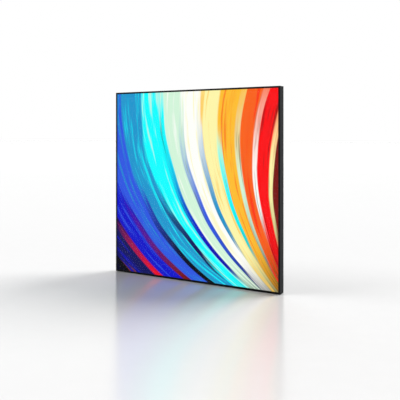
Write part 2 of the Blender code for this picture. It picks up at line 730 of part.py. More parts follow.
def make_board():
    """The driver board with its largest components."""
    width, height = board_size()
    low = (-width / 2, BOARD_Y, BOX_MIDDLE - height / 2)
    high = (width / 2, BOARD_Y + BOARD_THICKNESS, BOX_MIDDLE + height / 2)
    add_part("driver_board", box_mesh(low, high), "circuit_board")
    header_low = (HEADER_OFFSET - HEADER_WIDTH / 2, ON_BOARD_Y, BOX_MIDDLE - HEADER_LENGTH / 2)
    header_high = (
        HEADER_OFFSET + HEADER_WIDTH / 2,
        ON_BOARD_Y + HEADER_HEIGHT,
        BOX_MIDDLE + HEADER_LENGTH / 2,
    )
    add_part("lead_header", box_mesh(header_low, header_high), "white_board")


def make_capacitor():
    profile = [
        (0, TALL_PART_HEIGHT),
        (CAPACITOR_RADIUS - CAPACITOR_RIM, TALL_PART_HEIGHT),
        (CAPACITOR_RADIUS, TALL_PART_HEIGHT - CAPACITOR_RIM),
        (CAPACITOR_RADIUS, 0),
        (0, 0),
    ]
    x, z_offset = CAPACITOR_PLACE
    turned("capacitor", profile, "black_plastic", (x, ON_BOARD_Y, BOX_MIDDLE + z_offset), BACKWARD)


def make_inductor():
    """A wound ring core lying on the board."""
    bpy.ops.mesh.primitive_torus_add(
        major_radius=INDUCTOR_RADIUS, minor_radius=WINDING_RADIUS, major_segments=20, minor_segments=8,
    )
    ring = bpy.context.object
    mesh = ring.data
    bpy.data.objects.remove(ring)
    x, z_offset = INDUCTOR_PLACE
    place = (x, ON_BOARD_Y + WINDING_RADIUS, BOX_MIDDLE + z_offset)
    add_part("inductor", mesh, "copper_winding", place, BACKWARD)


def make_heat_sink():
    """A finned extrusion that cools the output stage."""
    pitch = (HEAT_SINK_WIDTH - FIN_THICKNESS) / (FIN_COUNT - 1)
    points = [(HEAT_SINK_WIDTH / 2, 0), (-HEAT_SINK_WIDTH / 2, 0)]
    for number in range(FIN_COUNT):
        left = -HEAT_SINK_WIDTH / 2 + number * pitch
        points += [(left, TALL_PART_HEIGHT), (left + FIN_THICKNESS, TALL_PART_HEIGHT)]
        if number < FIN_COUNT - 1:
            points += [(left + FIN_THICKNESS, HEAT_SINK_BASE), (left + pitch, HEAT_SINK_BASE)]
    mesh = outline_mesh([points], HEAT_SINK_LENGTH, "flat")
    add_part("heat_sink", mesh, "bare_aluminium", (HEAT_SINK_OFFSET, ON_BOARD_Y, BOX_MIDDLE))


def socket_y():
    return ON_BOARD_Y + SOCKET_RADIUS + 3 * GAP


def make_power_socket():
    """A round low-voltage socket with its centre pin, flanged on the box's outer side."""
    flange = SOCKET_FLANGE
    bottom = flange - SOCKET_DEPTH
    pin_tip = -GAP
    profile = [
        (0, pin_tip),
        (SOCKET_PIN_RADIUS, pin_tip),
        (SOCKET_PIN_RADIUS, bottom),
        (SOCKET_BORE, bottom),
        (SOCKET_BORE, flange),
        (SOCKET_FLANGE_RADIUS, flange),
        (SOCKET_FLANGE_RADIUS, 0),
        (SOCKET_RADIUS, 0),
        (SOCKET_RADIUS, flange - SOCKET_LENGTH),
        (0, flange - SOCKET_LENGTH),
    ]
    place = (BOX_WIDTH / 2 + GAP, socket_y(), BOX_MIDDLE + SOCKET_OFFSET)
    turned("power_socket", profile, "black_plastic", place, (0, math.pi / 2, 0))


def knob_top():
    return LID_BACK_Y + KNOB_LIFT + KNOB_HEIGHT


def make_knob(control, x):
    """A potentiometer on the board, its shaft, and a knob behind the lid."""
    pot_top = ON_BOARD_Y + POT_HEIGHT
    half = POT_SIDE / 2
    pot_mesh = box_mesh((-half, ON_BOARD_Y, -half), (half, pot_top, half))
    pot = add_part(f"{control}_potentiometer", pot_mesh, "zinc_plated", (x, 0, BOX_MIDDLE))
    bushing_top = LID_Y - GAP
    join(pot, as_cutter(rod_mesh(BUSHING_RADIUS, pot_top - GAP, bushing_top, "Y"), (x, 0, BOX_MIDDLE)))
    bore = rod_mesh(SHAFT_RADIUS + GAP, pot_top, bushing_top + GAP, "Y")
    cut(pot, as_cutter(bore, (x, 0, BOX_MIDDLE)))
    shaft_top = knob_top() - KNOB_ROOF - GAP
    shaft = rod_mesh(SHAFT_RADIUS, pot_top + GAP, shaft_top, "Y")
    add_part(f"{control}_shaft", shaft, "bare_aluminium", (x, 0, BOX_MIDDLE))
    bore_radius = SHAFT_RADIUS + GAP
    profile = [
        (0, KNOB_HEIGHT),
        (KNOB_RADIUS - 2 * KNOB_CHAMFER, KNOB_HEIGHT),
        (KNOB_RADIUS - KNOB_CHAMFER, KNOB_HEIGHT - KNOB_CHAMFER),
        (KNOB_RADIUS, 0),
        (bore_radius, 0),
        (bore_radius, KNOB_HEIGHT - KNOB_ROOF),
        (0, KNOB_HEIGHT - KNOB_ROOF),
    ]
    place = (x, LID_BACK_Y + KNOB_LIFT, BOX_MIDDLE)
    knob = turned(f"{control}_knob", profile, "black_plastic", place, BACKWARD, steps=24)
    low = (-POINTER_WIDTH / 2, knob_top() - POINTER_DEPTH, KNOB_RADIUS * 0.3)
    high = (POINTER_WIDTH / 2, knob_top() + POINTER_DEPTH, KNOB_RADIUS)
    cut(knob, as_cutter(box_mesh(low, high), (x, 0, BOX_MIDDLE)))


def pivot_y():
    return LID_BACK_Y + GAP + SWITCH_FLANGE_THICKNESS - PIVOT_BELOW_FLANGE


def make_switch():
    """A snap-in rocker switch: housing through the lid, and a rocker on two trunnions."""
    place = (SWITCH_OFFSET, 0, BOX_MIDDLE)
    half_x, half_z = SWITCH_WIDTH / 2, SWITCH_LENGTH / 2
    flange_front = LID_BACK_Y + GAP
    flange_back = flange_front + SWITCH_FLANGE_THICKNESS
    wide_x, wide_z = half_x + SWITCH_FLANGE, half_z + SWITCH_FLANGE
    flange = box_mesh((-wide_x, flange_front, -wide_z), (wide_x, flange_back, wide_z))
    housing = add_part("switch_housing", flange, "black_plastic", place)
    inner = box_mesh((-half_x, SWITCH_FRONT_Y, -half_z), (half_x, flange_front + GAP, half_z))
    join(housing, as_cutter(inner, place))
    pocket_x = ROCKER_WIDTH / 2 + GAP
    pocket_z = ROCKER_LENGTH / 2 + ROCKER_CLEARANCE
    pocket_floor = pivot_y() - ROCKER_LENGTH / 2
    pocket = box_mesh((-pocket_x, pocket_floor, -pocket_z), (pocket_x, flange_back + GAP, pocket_z))
    cut(housing, as_cutter(pocket, place))
    seat_x = pocket_x + TRUNNION_REACH
    seat = rod_mesh(TRUNNION_RADIUS + GAP, -seat_x, seat_x, "X", 12)
    cut(housing, as_cutter(seat, (SWITCH_OFFSET, pivot_y(), BOX_MIDDLE)))
    make_rocker()


def make_rocker():
    """The rocker's origin is on its pivot. It rests with its upper end pressed, which is on."""
    half = ROCKER_LENGTH / 2
    outline = [  # (back, up) from the pivot
        (0.0009, 0),
        (0.0026, half),
        (-0.0015, half * 0.92),
        (-0.0045, half * 0.42),
        (-0.0045, -half * 0.42),
        (-0.0015, -half * 0.92),
        (0.0026, -half),
    ]
    place = (SWITCH_OFFSET, pivot_y(), BOX_MIDDLE)
    turn = (ROCKER_TILT, 0, 0)
    mesh = outline_mesh([outline], ROCKER_WIDTH, "side")
    rocker = add_part("switch_rocker", mesh, "black_plastic", place, turn)
    reach = ROCKER_WIDTH / 2 + TRUNNION_REACH
    join(rocker, as_cutter(rod_mesh(TRUNNION_RADIUS, -reach, reach, "X", 12), place, turn))


def make_leads():
    """One lead from each strip's rear edge, through the cavity and the back plate, to the board."""
    start_y = STRIP_Y + STRIP_BREADTH + GAP
    channel_y = KEY_Y + KEY_THICKNESS / 2
    header_x = HEADER_OFFSET - HEADER_WIDTH / 2 - GAP
    board_y = ON_BOARD_Y + HEADER_HEIGHT / 2
    inset = RAIL_WALL + GAP + LEAD_RADIUS + GAP
    for side, edge, inward, entry in (
        ("bottom", PANEL_BOTTOM, 1, lead_entries()[0]),
        ("top", PANEL_TOP, -1, lead_entries()[1]),
    ):
        edge_z = edge + inward * inset
        run = entry - inward * 0.004 - edge_z
        points = [
            (LEAD_OFFSET, start_y, edge_z),
            (LEAD_OFFSET, channel_y - 0.0022, edge_z),
            (LEAD_OFFSET, channel_y, edge_z + inward * 0.003),
            (LEAD_OFFSET, channel_y, edge_z + run * 0.25),
            (LEAD_OFFSET, channel_y, edge_z + run * 0.75),
            (LEAD_OFFSET, channel_y + 0.0006, entry - inward * 0.004),
            (LEAD_OFFSET, ON_PLATE_Y - 0.001, entry),
            (LEAD_OFFSET, ON_BOARD_Y, entry),
            (LEAD_OFFSET + 0.002, board_y - 0.0008, entry),
            (LEAD_OFFSET + 0.006, board_y, entry),
            (header_x, board_y, entry),
        ]
        wire(f"led_lead_{side}", points, LEAD_RADIUS, "lead_sleeve")


def make_power_leads():
    """One lead from the socket to the switch, and one from the switch down to the board."""
    socket_x = BOX_WIDTH / 2 + SOCKET_FLANGE - SOCKET_LENGTH
    middle_y = (SWITCH_FRONT_Y + ON_BOARD_Y) / 2
    socket_z = BOX_MIDDLE + SOCKET_OFFSET
    feed_x = SWITCH_OFFSET + POWER_LEAD_SPREAD
    return_x = SWITCH_OFFSET - POWER_LEAD_SPREAD
    wire("power_lead", [
        (socket_x, socket_y(), socket_z),
        (socket_x - 4 * LEAD_RADIUS, socket_y(), socket_z),
        (feed_x + 2 * LEAD_RADIUS, middle_y, (socket_z + BOX_MIDDLE) / 2),
        (feed_x, middle_y, BOX_MIDDLE - 3 * LEAD_RADIUS),
        (feed_x, SWITCH_FRONT_Y - LEAD_RADIUS, BOX_MIDDLE),
        (feed_x, SWITCH_FRONT_Y - GAP, BOX_MIDDLE),
    ], LEAD_RADIUS, "lead_sleeve")
    wire("switch_lead", [
        (return_x, SWITCH_FRONT_Y - GAP, BOX_MIDDLE),
        (return_x, ON_BOARD_Y, BOX_MIDDLE),
    ], LEAD_RADIUS, "lead_sleeve")


def make_control_box():
    make_box_body()
    make_box_lid()
    make_board()
    make_capacitor()
    make_inductor()
    make_heat_sink()
    make_power_socket()
    for control, x in KNOB_OFFSETS.items():
        make_knob(control, x)
    make_switch()
    make_leads()
    make_power_leads()


# ---------------------------------------------------------------- folding rear feet
def make_foot_bracket(side, x):
    """A plate on the panel's back with two ears that hold the hinge pin."""
    middle_z = (BRACKET_LOW + BRACKET_HIGH) / 2
    height = BRACKET_HIGH - BRACKET_LOW
    plate_back = ON_PLATE_Y + BRACKET_THICKNESS
    outline = rounded_rectangle(x, middle_z, BRACKET_WIDTH, height, EDGE_RADIUS * 5)
    mesh = outline_mesh([outline], BRACKET_THICKNESS)
    bracket = add_part(
        f"foot_bracket_{side}", mesh, "black_steel", (0, (ON_PLATE_Y + plate_back) / 2, 0)
    )
    ear = [
        (x - EAR_HALF, plate_back - BRACKET_THICKNESS / 2),
        (x + EAR_HALF, plate_back - BRACKET_THICKNESS / 2),
        *[(x + dx, PIN_Y + dy) for dx, dy in circle(0, 0, EAR_HALF)[: ROUND_STEPS // 2 + 1]],
    ]
    for z in (BRACKET_LOW + BRACKET_THICKNESS, BRACKET_HIGH - BRACKET_THICKNESS):
        ear_mesh = outline_mesh([ear], BRACKET_THICKNESS, "flat")
        join(bracket, as_cutter(ear_mesh, (0, 0, z)))
    hole = rod_mesh(PIN_RADIUS + PIN_CLEARANCE, BRACKET_LOW, BRACKET_HIGH, "Z")
    cut(bracket, as_cutter(hole, (x, PIN_Y, 0)))


def ear_faces():
    """Heights of the lower ear's underside and top, and the upper ear's underside and top."""
    lower = BRACKET_LOW + BRACKET_THICKNESS / 2
    upper = BRACKET_HIGH - BRACKET_THICKNESS * 1.5
    return lower, lower + BRACKET_THICKNESS, upper, upper + BRACKET_THICKNESS


def make_foot_pin(side, x):
    lower, _, _, top = ear_faces()
    head = PIN_RADIUS * 1.4
    profile = [
        (0, top + GAP + PIN_HEAD),
        (head, top + GAP + PIN_HEAD),
        (head, top + GAP),
        (PIN_RADIUS, top + GAP),
        (PIN_RADIUS, lower - PIN_HEAD),
        (0, lower - PIN_HEAD),
    ]
    turned(f"foot_pin_{side}", profile, "bare_aluminium", (x, PIN_Y, 0))


def make_foot_arm(side, x):
    """A gusset plate on a barrel round the pin, with a rubber pad under its toe."""
    _, barrel_low, barrel_high, _ = ear_faces()
    low = barrel_low + BARREL_END_GAP
    high = barrel_high - BARREL_END_GAP
    bottom = PAD_UNDER + GAP
    toe = FOOT_REACH - ARM_TOE_LENGTH
    bore = PIN_RADIUS + PIN_CLEARANCE
    root = (bore + BARREL_RADIUS) / 2
    outline = [  # (back from the pin, height)
        (root, low + EDGE_RADIUS * 2),
        (root * 4, low + EDGE_RADIUS * 2),
        (toe, bottom),
        (FOOT_REACH - GAP, bottom),
        (FOOT_REACH, bottom + ARM_TOE_HEIGHT * 0.3),
        (FOOT_REACH - ARM_TOE_HEIGHT * 0.4, bottom + ARM_TOE_HEIGHT),
        (root * 4, high - EDGE_RADIUS * 2),
        (root, high - EDGE_RADIUS * 2),
    ]
    window = [  # a lightening hole that follows the gusset
        (0.024, low + 0.008),
        (0.056, low + 0.002),
        (0.056, low + 0.009),
        (0.024, high - 0.011),
    ]
    place = (x, PIN_Y, 0)
    mesh = outline_mesh([outline, window], ARM_THICKNESS, "side")
    arm = add_part(f"foot_arm_{side}", mesh, "black_steel", place)
    join(arm, as_cutter(rod_mesh(BARREL_RADIUS, low, high, "Z"), place))
    cut(arm, as_cutter(rod_mesh(bore, low - GAP, high + GAP, "Z"), place))
    end = FOOT_REACH - ARM_TOE_HEIGHT * 0.2
    pad_low = (-PAD_WIDTH / 2, end - PAD_LENGTH, 0)
    pad_mesh = box_mesh(pad_low, (PAD_WIDTH / 2, end, bottom + PAD_LIP))
    pad = add_part(f"foot_pad_{side}", pad_mesh, "rubber", place)
    slot_half = ARM_THICKNESS / 2 + GAP
    slot_low = (-slot_half, end - 2 * PAD_LENGTH, PAD_UNDER)
    slot_high = (slot_half, end + PAD_LENGTH, bottom + 2 * PAD_LIP)
    cut(pad, as_cutter(box_mesh(slot_low, slot_high), place))


def make_feet():
    for side, x in (("left", -PIN_X), ("right", PIN_X)):
        make_foot_bracket(side, x)
        make_foot_pin(side, x)
        make_foot_arm(side, x)


# ---------------------------------------------------------------- assembly
def shade_round_pieces():
    for obj in PARTS.objects:
        if obj.type == "MESH" and any(modifier.type == "SCREW" for modifier in obj.modifiers):
            obj.data.shade_smooth()
            obj.data.set_sharp_from_angle(angle=math.radians(35))


def main():
    make_frame()
    make_sheets()
    make_back_plate()
    make_mount_plate()
    make_base_pads()
    make_control_box()
    make_feet()
    shade_round_pieces()


main()
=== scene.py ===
"""Finish for a slim LED panel light: its surfaces, back-lit picture, small hardware and stage.

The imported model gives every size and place. Each operator finishes one piece or one group of like
pieces, and a finished piece stands at the origin with its place in its mesh. Metres, +Z up, and the
panel's front faces -Y.
"""

import math

import bmesh
import bpy
from bpy.props import FloatProperty, FloatVectorProperty, IntProperty, PointerProperty
from bpy.types import Operator, Panel, PropertyGroup
from mathutils import Matrix, Vector


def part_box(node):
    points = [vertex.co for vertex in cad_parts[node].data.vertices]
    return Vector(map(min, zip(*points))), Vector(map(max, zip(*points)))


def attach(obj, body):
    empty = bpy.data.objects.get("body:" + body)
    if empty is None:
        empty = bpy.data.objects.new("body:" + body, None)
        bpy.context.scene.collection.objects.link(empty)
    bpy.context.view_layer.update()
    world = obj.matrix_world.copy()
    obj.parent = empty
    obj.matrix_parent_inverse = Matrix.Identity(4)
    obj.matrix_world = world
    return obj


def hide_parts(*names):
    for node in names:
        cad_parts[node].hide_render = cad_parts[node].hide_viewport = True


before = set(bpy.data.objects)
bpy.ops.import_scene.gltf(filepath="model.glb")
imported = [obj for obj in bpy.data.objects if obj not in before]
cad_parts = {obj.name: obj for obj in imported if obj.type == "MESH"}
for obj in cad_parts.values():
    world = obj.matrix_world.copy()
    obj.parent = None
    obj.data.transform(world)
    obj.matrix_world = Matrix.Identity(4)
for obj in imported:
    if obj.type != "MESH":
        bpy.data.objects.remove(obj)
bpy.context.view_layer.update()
FULL_TURN = 2 * math.pi
WELD = 0.000002
SIDES = ("bottom", "right", "top", "left")

bl_info = {
    "name": "LED panel light finish",
    "version": (1, 0, 0),
    "blender": (4, 5, 0),
    "location": "3D View > Sidebar > Panel light",
    "description": "Finishes a packed LED panel light: surfaces, back-lit picture and stage",
    "category": "Object",
}


# ---------------------------------------------------------------- settings
def linear(red, green, blue):
    """A screen colour from 0 to 255 as scene-linear values."""
    def channel(value):
        value /= 255
        return value / 12.92 if value <= 0.04045 else ((value + 0.055) / 1.055) ** 2.4
    return tuple(channel(value) for value in (red, green, blue))


def colour_setting(name, description, *screen):
    return FloatVectorProperty(
        name=name, description=description, subtype="COLOR", size=3, min=0, max=1,
        default=linear(*screen),
    )


def length_setting(name, description, default):
    return FloatProperty(name=name, description=description, default=default, min=0, unit="LENGTH")


def angle_setting(name, description, degrees):
    return FloatProperty(
        name=name, description=description, default=math.radians(degrees), subtype="ANGLE",
    )


def amount_setting(name, description, default):
    return FloatProperty(name=name, description=description, default=default, min=0, unit="NONE")


class PictureSettings(PropertyGroup):
    """Inks of the printed film, how its strokes lie and how brightly it is lit from behind."""

    brightness: amount_setting("Brightness", "Light through the film's white", 1.0)
    bristles: amount_setting("Bristles", "How fine the brush marks are", 1.0)
    first_angle: angle_setting("First stroke", "Angle where the first stroke starts", 110)
    last_angle: angle_setting("Last stroke", "Angle where the last stroke ends", 198)
    night: colour_setting("Night", "Near black, under every stroke", 14, 14, 20)
    navy: colour_setting("Navy", "Deep blue ink", 24, 26, 92)
    ultramarine: colour_setting("Ultramarine", "Strong blue ink", 22, 24, 200)
    royal: colour_setting("Royal blue", "Light blue ink", 50, 88, 224)
    lagoon: colour_setting("Lagoon", "Blue-green ink", 36, 150, 205)
    sky: colour_setting("Sky cyan", "Cyan ink", 20, 252, 255)
    mint: colour_setting("Mint", "Pale green ink", 212, 245, 218)
    snow: colour_setting("Snow", "Bare white film", 255, 255, 250)
    cream: colour_setting("Cream", "Pale yellow ink", 255, 246, 170)
    gold: colour_setting("Gold", "Yellow ink", 255, 190, 50)
    orange: colour_setting("Orange", "Orange ink", 250, 100, 28)
    scarlet: colour_setting("Scarlet", "Red ink", 253, 18, 20)
    ember: colour_setting("Ember", "Dark red ink", 120, 26, 20)


class FinishSettings(PropertyGroup):
    """Surfaces and softened edges of the metal, plastic and rubber."""

    coat: colour_setting("Frame coat", "Charcoal powder coat on the frame", 27, 28, 30)
    sheet: colour_setting("Sheet coat", "Black powder coat on the back", 40, 41, 43)
    worn: colour_setting("Worn edge", "Coat worn thin along an edge", 96, 97, 99)
    plastic: colour_setting("Plastic", "Moulded black plastic", 26, 26, 28)
    paint: colour_setting("Mark paint", "White marks on the dials", 222, 224, 222)
    grain: length_setting("Coat grain", "Size of the powder coat's texture", 0.0007)
    wear: FloatProperty(
        name="Edge wear", description="How much of an edge has worn", default=0.5, min=0, max=1,
        subtype="FACTOR",
    )
    edge: length_setting("Soft edge", "Rounding of a folded or cut metal edge", 0.0003)
    rubber_edge: length_setting("Rubber edge", "Rounding of a moulded rubber edge", 0.0007)


class HardwareSettings(PropertyGroup):
    """Small hardware: screws, rivets, dials and their marks."""

    head_height: length_setting("Screw head", "Height of a screw's head", 0.0016)
    shank_radius: length_setting("Screw shank", "Radius over the thread", 0.0015)
    thread_pitch: length_setting("Thread pitch", "Height of one thread", 0.0005)
    rivet_radius: length_setting("Rivet", "Radius of a rivet's head", 0.0024)
    knob_flutes: IntProperty(name="Flutes", description="Flutes round a knob", default=30, min=6)
    dial_marks: IntProperty(name="Dial marks", description="Marks round a knob", default=11, min=2)
    dial_sweep: angle_setting("Dial sweep", "Angle from the first mark to the last", 300)
    mark_thickness: length_setting("Mark thickness", "Thickness of a printed mark", 0.00008)
    dot_pitch: length_setting("Dot pitch", "Distance between the light guide's dots", 0.012)


class StageSettings(PropertyGroup):
    """Camera, floor and lamps."""

    lens: FloatProperty(
        name="Lens", description="Focal length", default=55.9, subtype="DISTANCE_CAMERA",
    )
    azimuth: angle_setting("Azimuth", "Camera's turn round the panel, to its right", 31.2)
    distance: length_setting("Distance", "Camera to the panel's front, along the view", 1.939)
    aside: length_setting("Aside", "How far the camera stands to the right of the centre", 0.027)
    height: length_setting("Height", "Camera over the floor", 0.4637)
    rise: FloatProperty(
        name="Rise", description="Vertical shift of the view, as a share of its width",
        default=-0.166,
    )
    floor: colour_setting("Floor", "Glossy pale floor", 228, 228, 228)
    floor_size: length_setting("Floor size", "Side of the floor", 60)
    backdrop: amount_setting("Backdrop", "Brightness of the surroundings as seen", 1.0)
    fill: amount_setting("Fill", "Soft light from all round", 0.14)
    key: amount_setting("Key", "Strength of the lamp behind the right", 2.75)
    key_height: angle_setting("Key height", "Angle of the key lamp over the floor", 48)
    key_turn: angle_setting("Key turn", "How far the key lamp stands behind the right", 27)
    back: amount_setting("Back", "Strength of the lamp behind the panel", 0.6)
    back_height: angle_setting("Back height", "Angle of the back lamp over the floor", 50)
    side: amount_setting("Side", "Strength of the lamp at the left", 1.2)
    side_height: angle_setting("Side height", "Angle of the side lamp over the floor", 48)
    lamp_spread: angle_setting("Lamp spread", "How wide a lamp looks, which softens its shadow", 34)


# ---------------------------------------------------------------- nodes
NUMBER = "NodeSocketFloat"
COLOUR = "NodeSocketColor"
VECTOR = "NodeSocketVector"
INTEGER = "NodeSocketInt"
A_PART = ("NodeSocketObject", None)
A_MATERIAL = ("NodeSocketMaterial", None)
ORIGIN = (0.0, 0.0, 0.0)
WHITE = (1.0, 1.0, 1.0, 1.0)
BLACK = (0.0, 0.0, 0.0, 1.0)


def node(tree, kind, inputs=None, **settings):
    """Adds a node. An input's value is a plain value or another node's output."""
    made = tree.nodes.new(kind)
    for name, value in settings.items():
        setattr(made, name, value)
    for name, value in (inputs or {}).items():
        if isinstance(value, bpy.types.NodeSocket):
            tree.links.new(value, made.inputs[name])
        else:
            made.inputs[name].default_value = value
    return made


def calc(tree, operation, *values, clamp=False):
    """A Math node's output."""
    inputs = dict(enumerate(values))
    return node(tree, "ShaderNodeMath", inputs, operation=operation, use_clamp=clamp).outputs[0]


def times(tree, first, second):
    return calc(tree, "MULTIPLY", first, second)


def plus(tree, first, second):
    return calc(tree, "ADD", first, second)


def minus(tree, first, second):
    return calc(tree, "SUBTRACT", first, second)


def ease(tree, value, low, high, start=0.0, end=1.0, smooth=True):
    """A value that goes from start to end as the given one goes from low to high."""
    inputs = {"Value": value, "From Min": low, "From Max": high, "To Min": start, "To Max": end}
    kind = "SMOOTHSTEP" if smooth else "LINEAR"
    return node(tree, "ShaderNodeMapRange", inputs, interpolation_type=kind).outputs["Result"]


def mix(tree, factor, low, high):
    """A colour between two."""
    made = node(tree, "ShaderNodeMix", data_type="RGBA")
    for index, value in ((0, factor), (6, low), (7, high)):
        if isinstance(value, bpy.types.NodeSocket):
            tree.links.new(value, made.inputs[index])
        else:
            made.inputs[index].default_value = value
    return made.outputs[2]


def paint(colour):
    """A colour setting as the four values that a socket takes."""
    return (*colour, 1.0)


def new_group(name, inputs, outputs):
    """A shader node group, its inputs given as name: default and its outputs as name: kind."""
    tree = bpy.data.node_groups.new(name, "ShaderNodeTree")
    for label, default in inputs.items():
        kind = {1: NUMBER, 3: VECTOR, 4: COLOUR}[len(default) if isinstance(default, tuple) else 1]
        socket = tree.interface.new_socket(name=label, in_out="INPUT", socket_type=kind)
        socket.default_value = default
    for label, kind in outputs.items():
        tree.interface.new_socket(name=label, in_out="OUTPUT", socket_type=kind)
    return tree, node(tree, "NodeGroupInput").outputs, node(tree, "NodeGroupOutput").inputs


def use_group(tree, name, inputs):
    return node(tree, "ShaderNodeGroup", inputs, node_tree=bpy.data.node_groups[name]).outputs


def build_grain_group():
    """Grain of a coat, a moulding or a sheet: mottled colour, uneven gloss and fine relief."""
    tree, given, out = new_group(
        "Surface grain",
        {
            "Color": WHITE, "Second Color": BLACK, "Mottle": 0.3,
            "Size": 0.001, "Stretch": (1.0, 1.0, 1.0),
            "Roughness": 0.5, "Roughness Range": 0.1,
            "Relief": 0.0001,
        },
        {"Color": COLOUR, "Roughness": NUMBER, "Normal": VECTOR},
    )
    place = node(tree, "ShaderNodeTexCoord").outputs["Object"]
    stretched = node(
        tree, "ShaderNodeVectorMath", {0: place, 1: given["Stretch"]}, operation="MULTIPLY")
    scale = calc(tree, "DIVIDE", 1.0, given["Size"])
    fine = node(
        tree, "ShaderNodeTexNoise",
        {"Vector": stretched.outputs[0], "Scale": scale, "Detail": 3.0, "Roughness": 0.6},
    ).outputs["Fac"]
    coarse = node(
        tree, "ShaderNodeTexNoise",
        {"Vector": stretched.outputs[0], "Scale": times(tree, scale, 0.03), "Detail": 4.0},
    ).outputs["Fac"]
    blend = times(tree, plus(tree, fine, coarse), 0.5)
    share = times(tree, ease(tree, blend, 0.35, 0.65), given["Mottle"])
    tree.links.new(mix(tree, share, given["Color"], given["Second Color"]), out["Color"])
    offset = times(tree, minus(tree, coarse, 0.5), given["Roughness Range"])
    tree.links.new(calc(tree, "ADD", given["Roughness"], offset, clamp=True), out["Roughness"])
    bump = node(
        tree, "ShaderNodeBump", {"Strength": 0.6, "Distance": given["Relief"], "Height": fine})
    tree.links.new(bump.outputs["Normal"], out["Normal"])


def build_wear_group():
    """Wear along edges: a lighter, smoother line where the surface turns, broken up by noise."""
    tree, given, out = new_group(
        "Edge wear",
        {
            "Color": BLACK, "Roughness": 0.5, "Worn Color": WHITE,
            "Worn Roughness": 0.3, "Width": 0.0006, "Amount": 0.5,
        },
        {"Color": COLOUR, "Roughness": NUMBER},
    )
    rounded = node(tree, "ShaderNodeBevel", {"Radius": given["Width"]}, samples=6).outputs["Normal"]
    flat = node(tree, "ShaderNodeNewGeometry").outputs["Normal"]
    facing = node(tree, "ShaderNodeVectorMath", {0: rounded, 1: flat}, operation="DOT_PRODUCT")
    edge = ease(tree, facing.outputs["Value"], 0.995, 0.88)
    place = node(tree, "ShaderNodeTexCoord").outputs["Object"]
    patches = node(
        tree, "ShaderNodeTexNoise",
        {"Vector": place, "Scale": 160.0, "Detail": 5.0, "Roughness": 0.7},
    ).outputs["Fac"]
    threshold = minus(tree, 0.8, times(tree, given["Amount"], 0.5))
    broken = ease(tree, patches, threshold, plus(tree, threshold, 0.12))
    mask = times(tree, edge, broken)
    tree.links.new(mix(tree, mask, given["Color"], given["Worn Color"]), out["Color"])
    low = times(tree, given["Roughness"], minus(tree, 1.0, mask))
    high = times(tree, given["Worn Roughness"], mask)
    tree.links.new(plus(tree, low, high), out["Roughness"])


def build_fan_group():
    """Coordinates of strokes that fan out of one root: the angle across and the way along."""
    tree, given, out = new_group(
        "Fan coordinates",
        {
            "U": 0.0, "V": 0.0, "Root U": 0.0,
            "Root V": 0.0, "Bend": 0.0, "Power": 1.0,
        },
        {"Angle": NUMBER, "Distance": NUMBER},
    )
    right = minus(tree, given["U"], given["Root U"])
    up = minus(tree, given["V"], given["Root V"])
    square = plus(tree, times(tree, right, right), times(tree, up, up))
    distance = calc(tree, "SQRT", square)
    angle = calc(tree, "DEGREES", calc(tree, "ARCTAN2", up, right))
    bend = times(tree, given["Bend"], calc(tree, "POWER", distance, given["Power"]))
    tree.links.new(plus(tree, angle, bend), out["Angle"])
    tree.links.new(distance, out["Distance"])


BAND_INPUTS = {
    "Under": BLACK, "Across": 0.0, "Along": 0.0, "From": 0.0, "To": 1.0, "Soft From": 0.4,
    "Soft To": 0.4, "Root": BLACK, "Middle": WHITE, "Tip": WHITE, "Root At": 0.0,
    "Middle At": 0.5, "Tip At": 1.0, "Streak": WHITE, "Streak Amount": 0.0, "Streak Cut": 0.55,
    "Density": 1.0, "Stretch": 3.0, "Start": -9.0, "End": 9.0, "Feather": 0.1, "Wobble": 0.6,
    "Seed": 0.0, "Drag": 0.3,
}


def build_band_group():
    """One brush band over what lies under it: a wet edge, a streaky length and bristle marks."""
    tree, given, out = new_group("Brush band", BAND_INPUTS, {"Color": COLOUR})
    wet = node(tree, "ShaderNodeRGBToBW", {"Color": given["Under"]}).outputs[0]
    pulled = plus(tree, given["Across"], times(tree, wet, given["Drag"]))
    sway_at = node(tree, "ShaderNodeCombineXYZ", {
        "X": times(tree, given["Along"], 2.2), "Y": given["Seed"]})
    sway = node(
        tree, "ShaderNodeTexNoise", {"Vector": sway_at.outputs[0], "Scale": 1.0, "Detail": 1.0})
    shift = times(tree, minus(tree, sway.outputs["Fac"], 0.5), given["Wobble"])
    across = plus(tree, pulled, times(tree, shift, 2.0))
    hairs_at = node(tree, "ShaderNodeCombineXYZ", {
        "X": times(tree, across, given["Density"]),
        "Y": times(tree, given["Along"], given["Stretch"]),
        "Z": given["Seed"],
    })
    hairs = node(
        tree, "ShaderNodeTexNoise",
        {"Vector": hairs_at.outputs[0], "Scale": 1.0, "Detail": 3.0, "Roughness": 0.62},
    ).outputs["Fac"]
    reach = times(tree, minus(tree, hairs, 0.5), given["Feather"])
    along = plus(tree, given["Along"], times(tree, reach, 3.0))
    inner = ease(tree, across, given["From"], plus(tree, given["From"], given["Soft From"]))
    last = minus(tree, given["To"], given["Soft To"])
    outer = ease(tree, across, last, given["To"], 1.0, 0.0)
    begun = ease(tree, along, given["Start"], plus(tree, given["Start"], given["Feather"]))
    lifting = minus(tree, given["End"], given["Feather"])
    ended = ease(tree, along, lifting, given["End"], 1.0, 0.0)
    mask = times(tree, times(tree, inner, outer), times(tree, begun, ended))
    toned = ease(tree, along, given["Root At"], given["Middle At"])
    lower = mix(tree, toned, given["Root"], given["Middle"])
    shaded = mix(tree, ease(tree, along, given["Middle At"], given["Tip At"]), lower, given["Tip"])
    streak = ease(tree, hairs, given["Streak Cut"], plus(tree, given["Streak Cut"], 0.12))
    marked = mix(tree, times(tree, streak, given["Streak Amount"]), shaded, given["Streak"])
    tree.links.new(mix(tree, mask, given["Under"], marked), out["Color"])


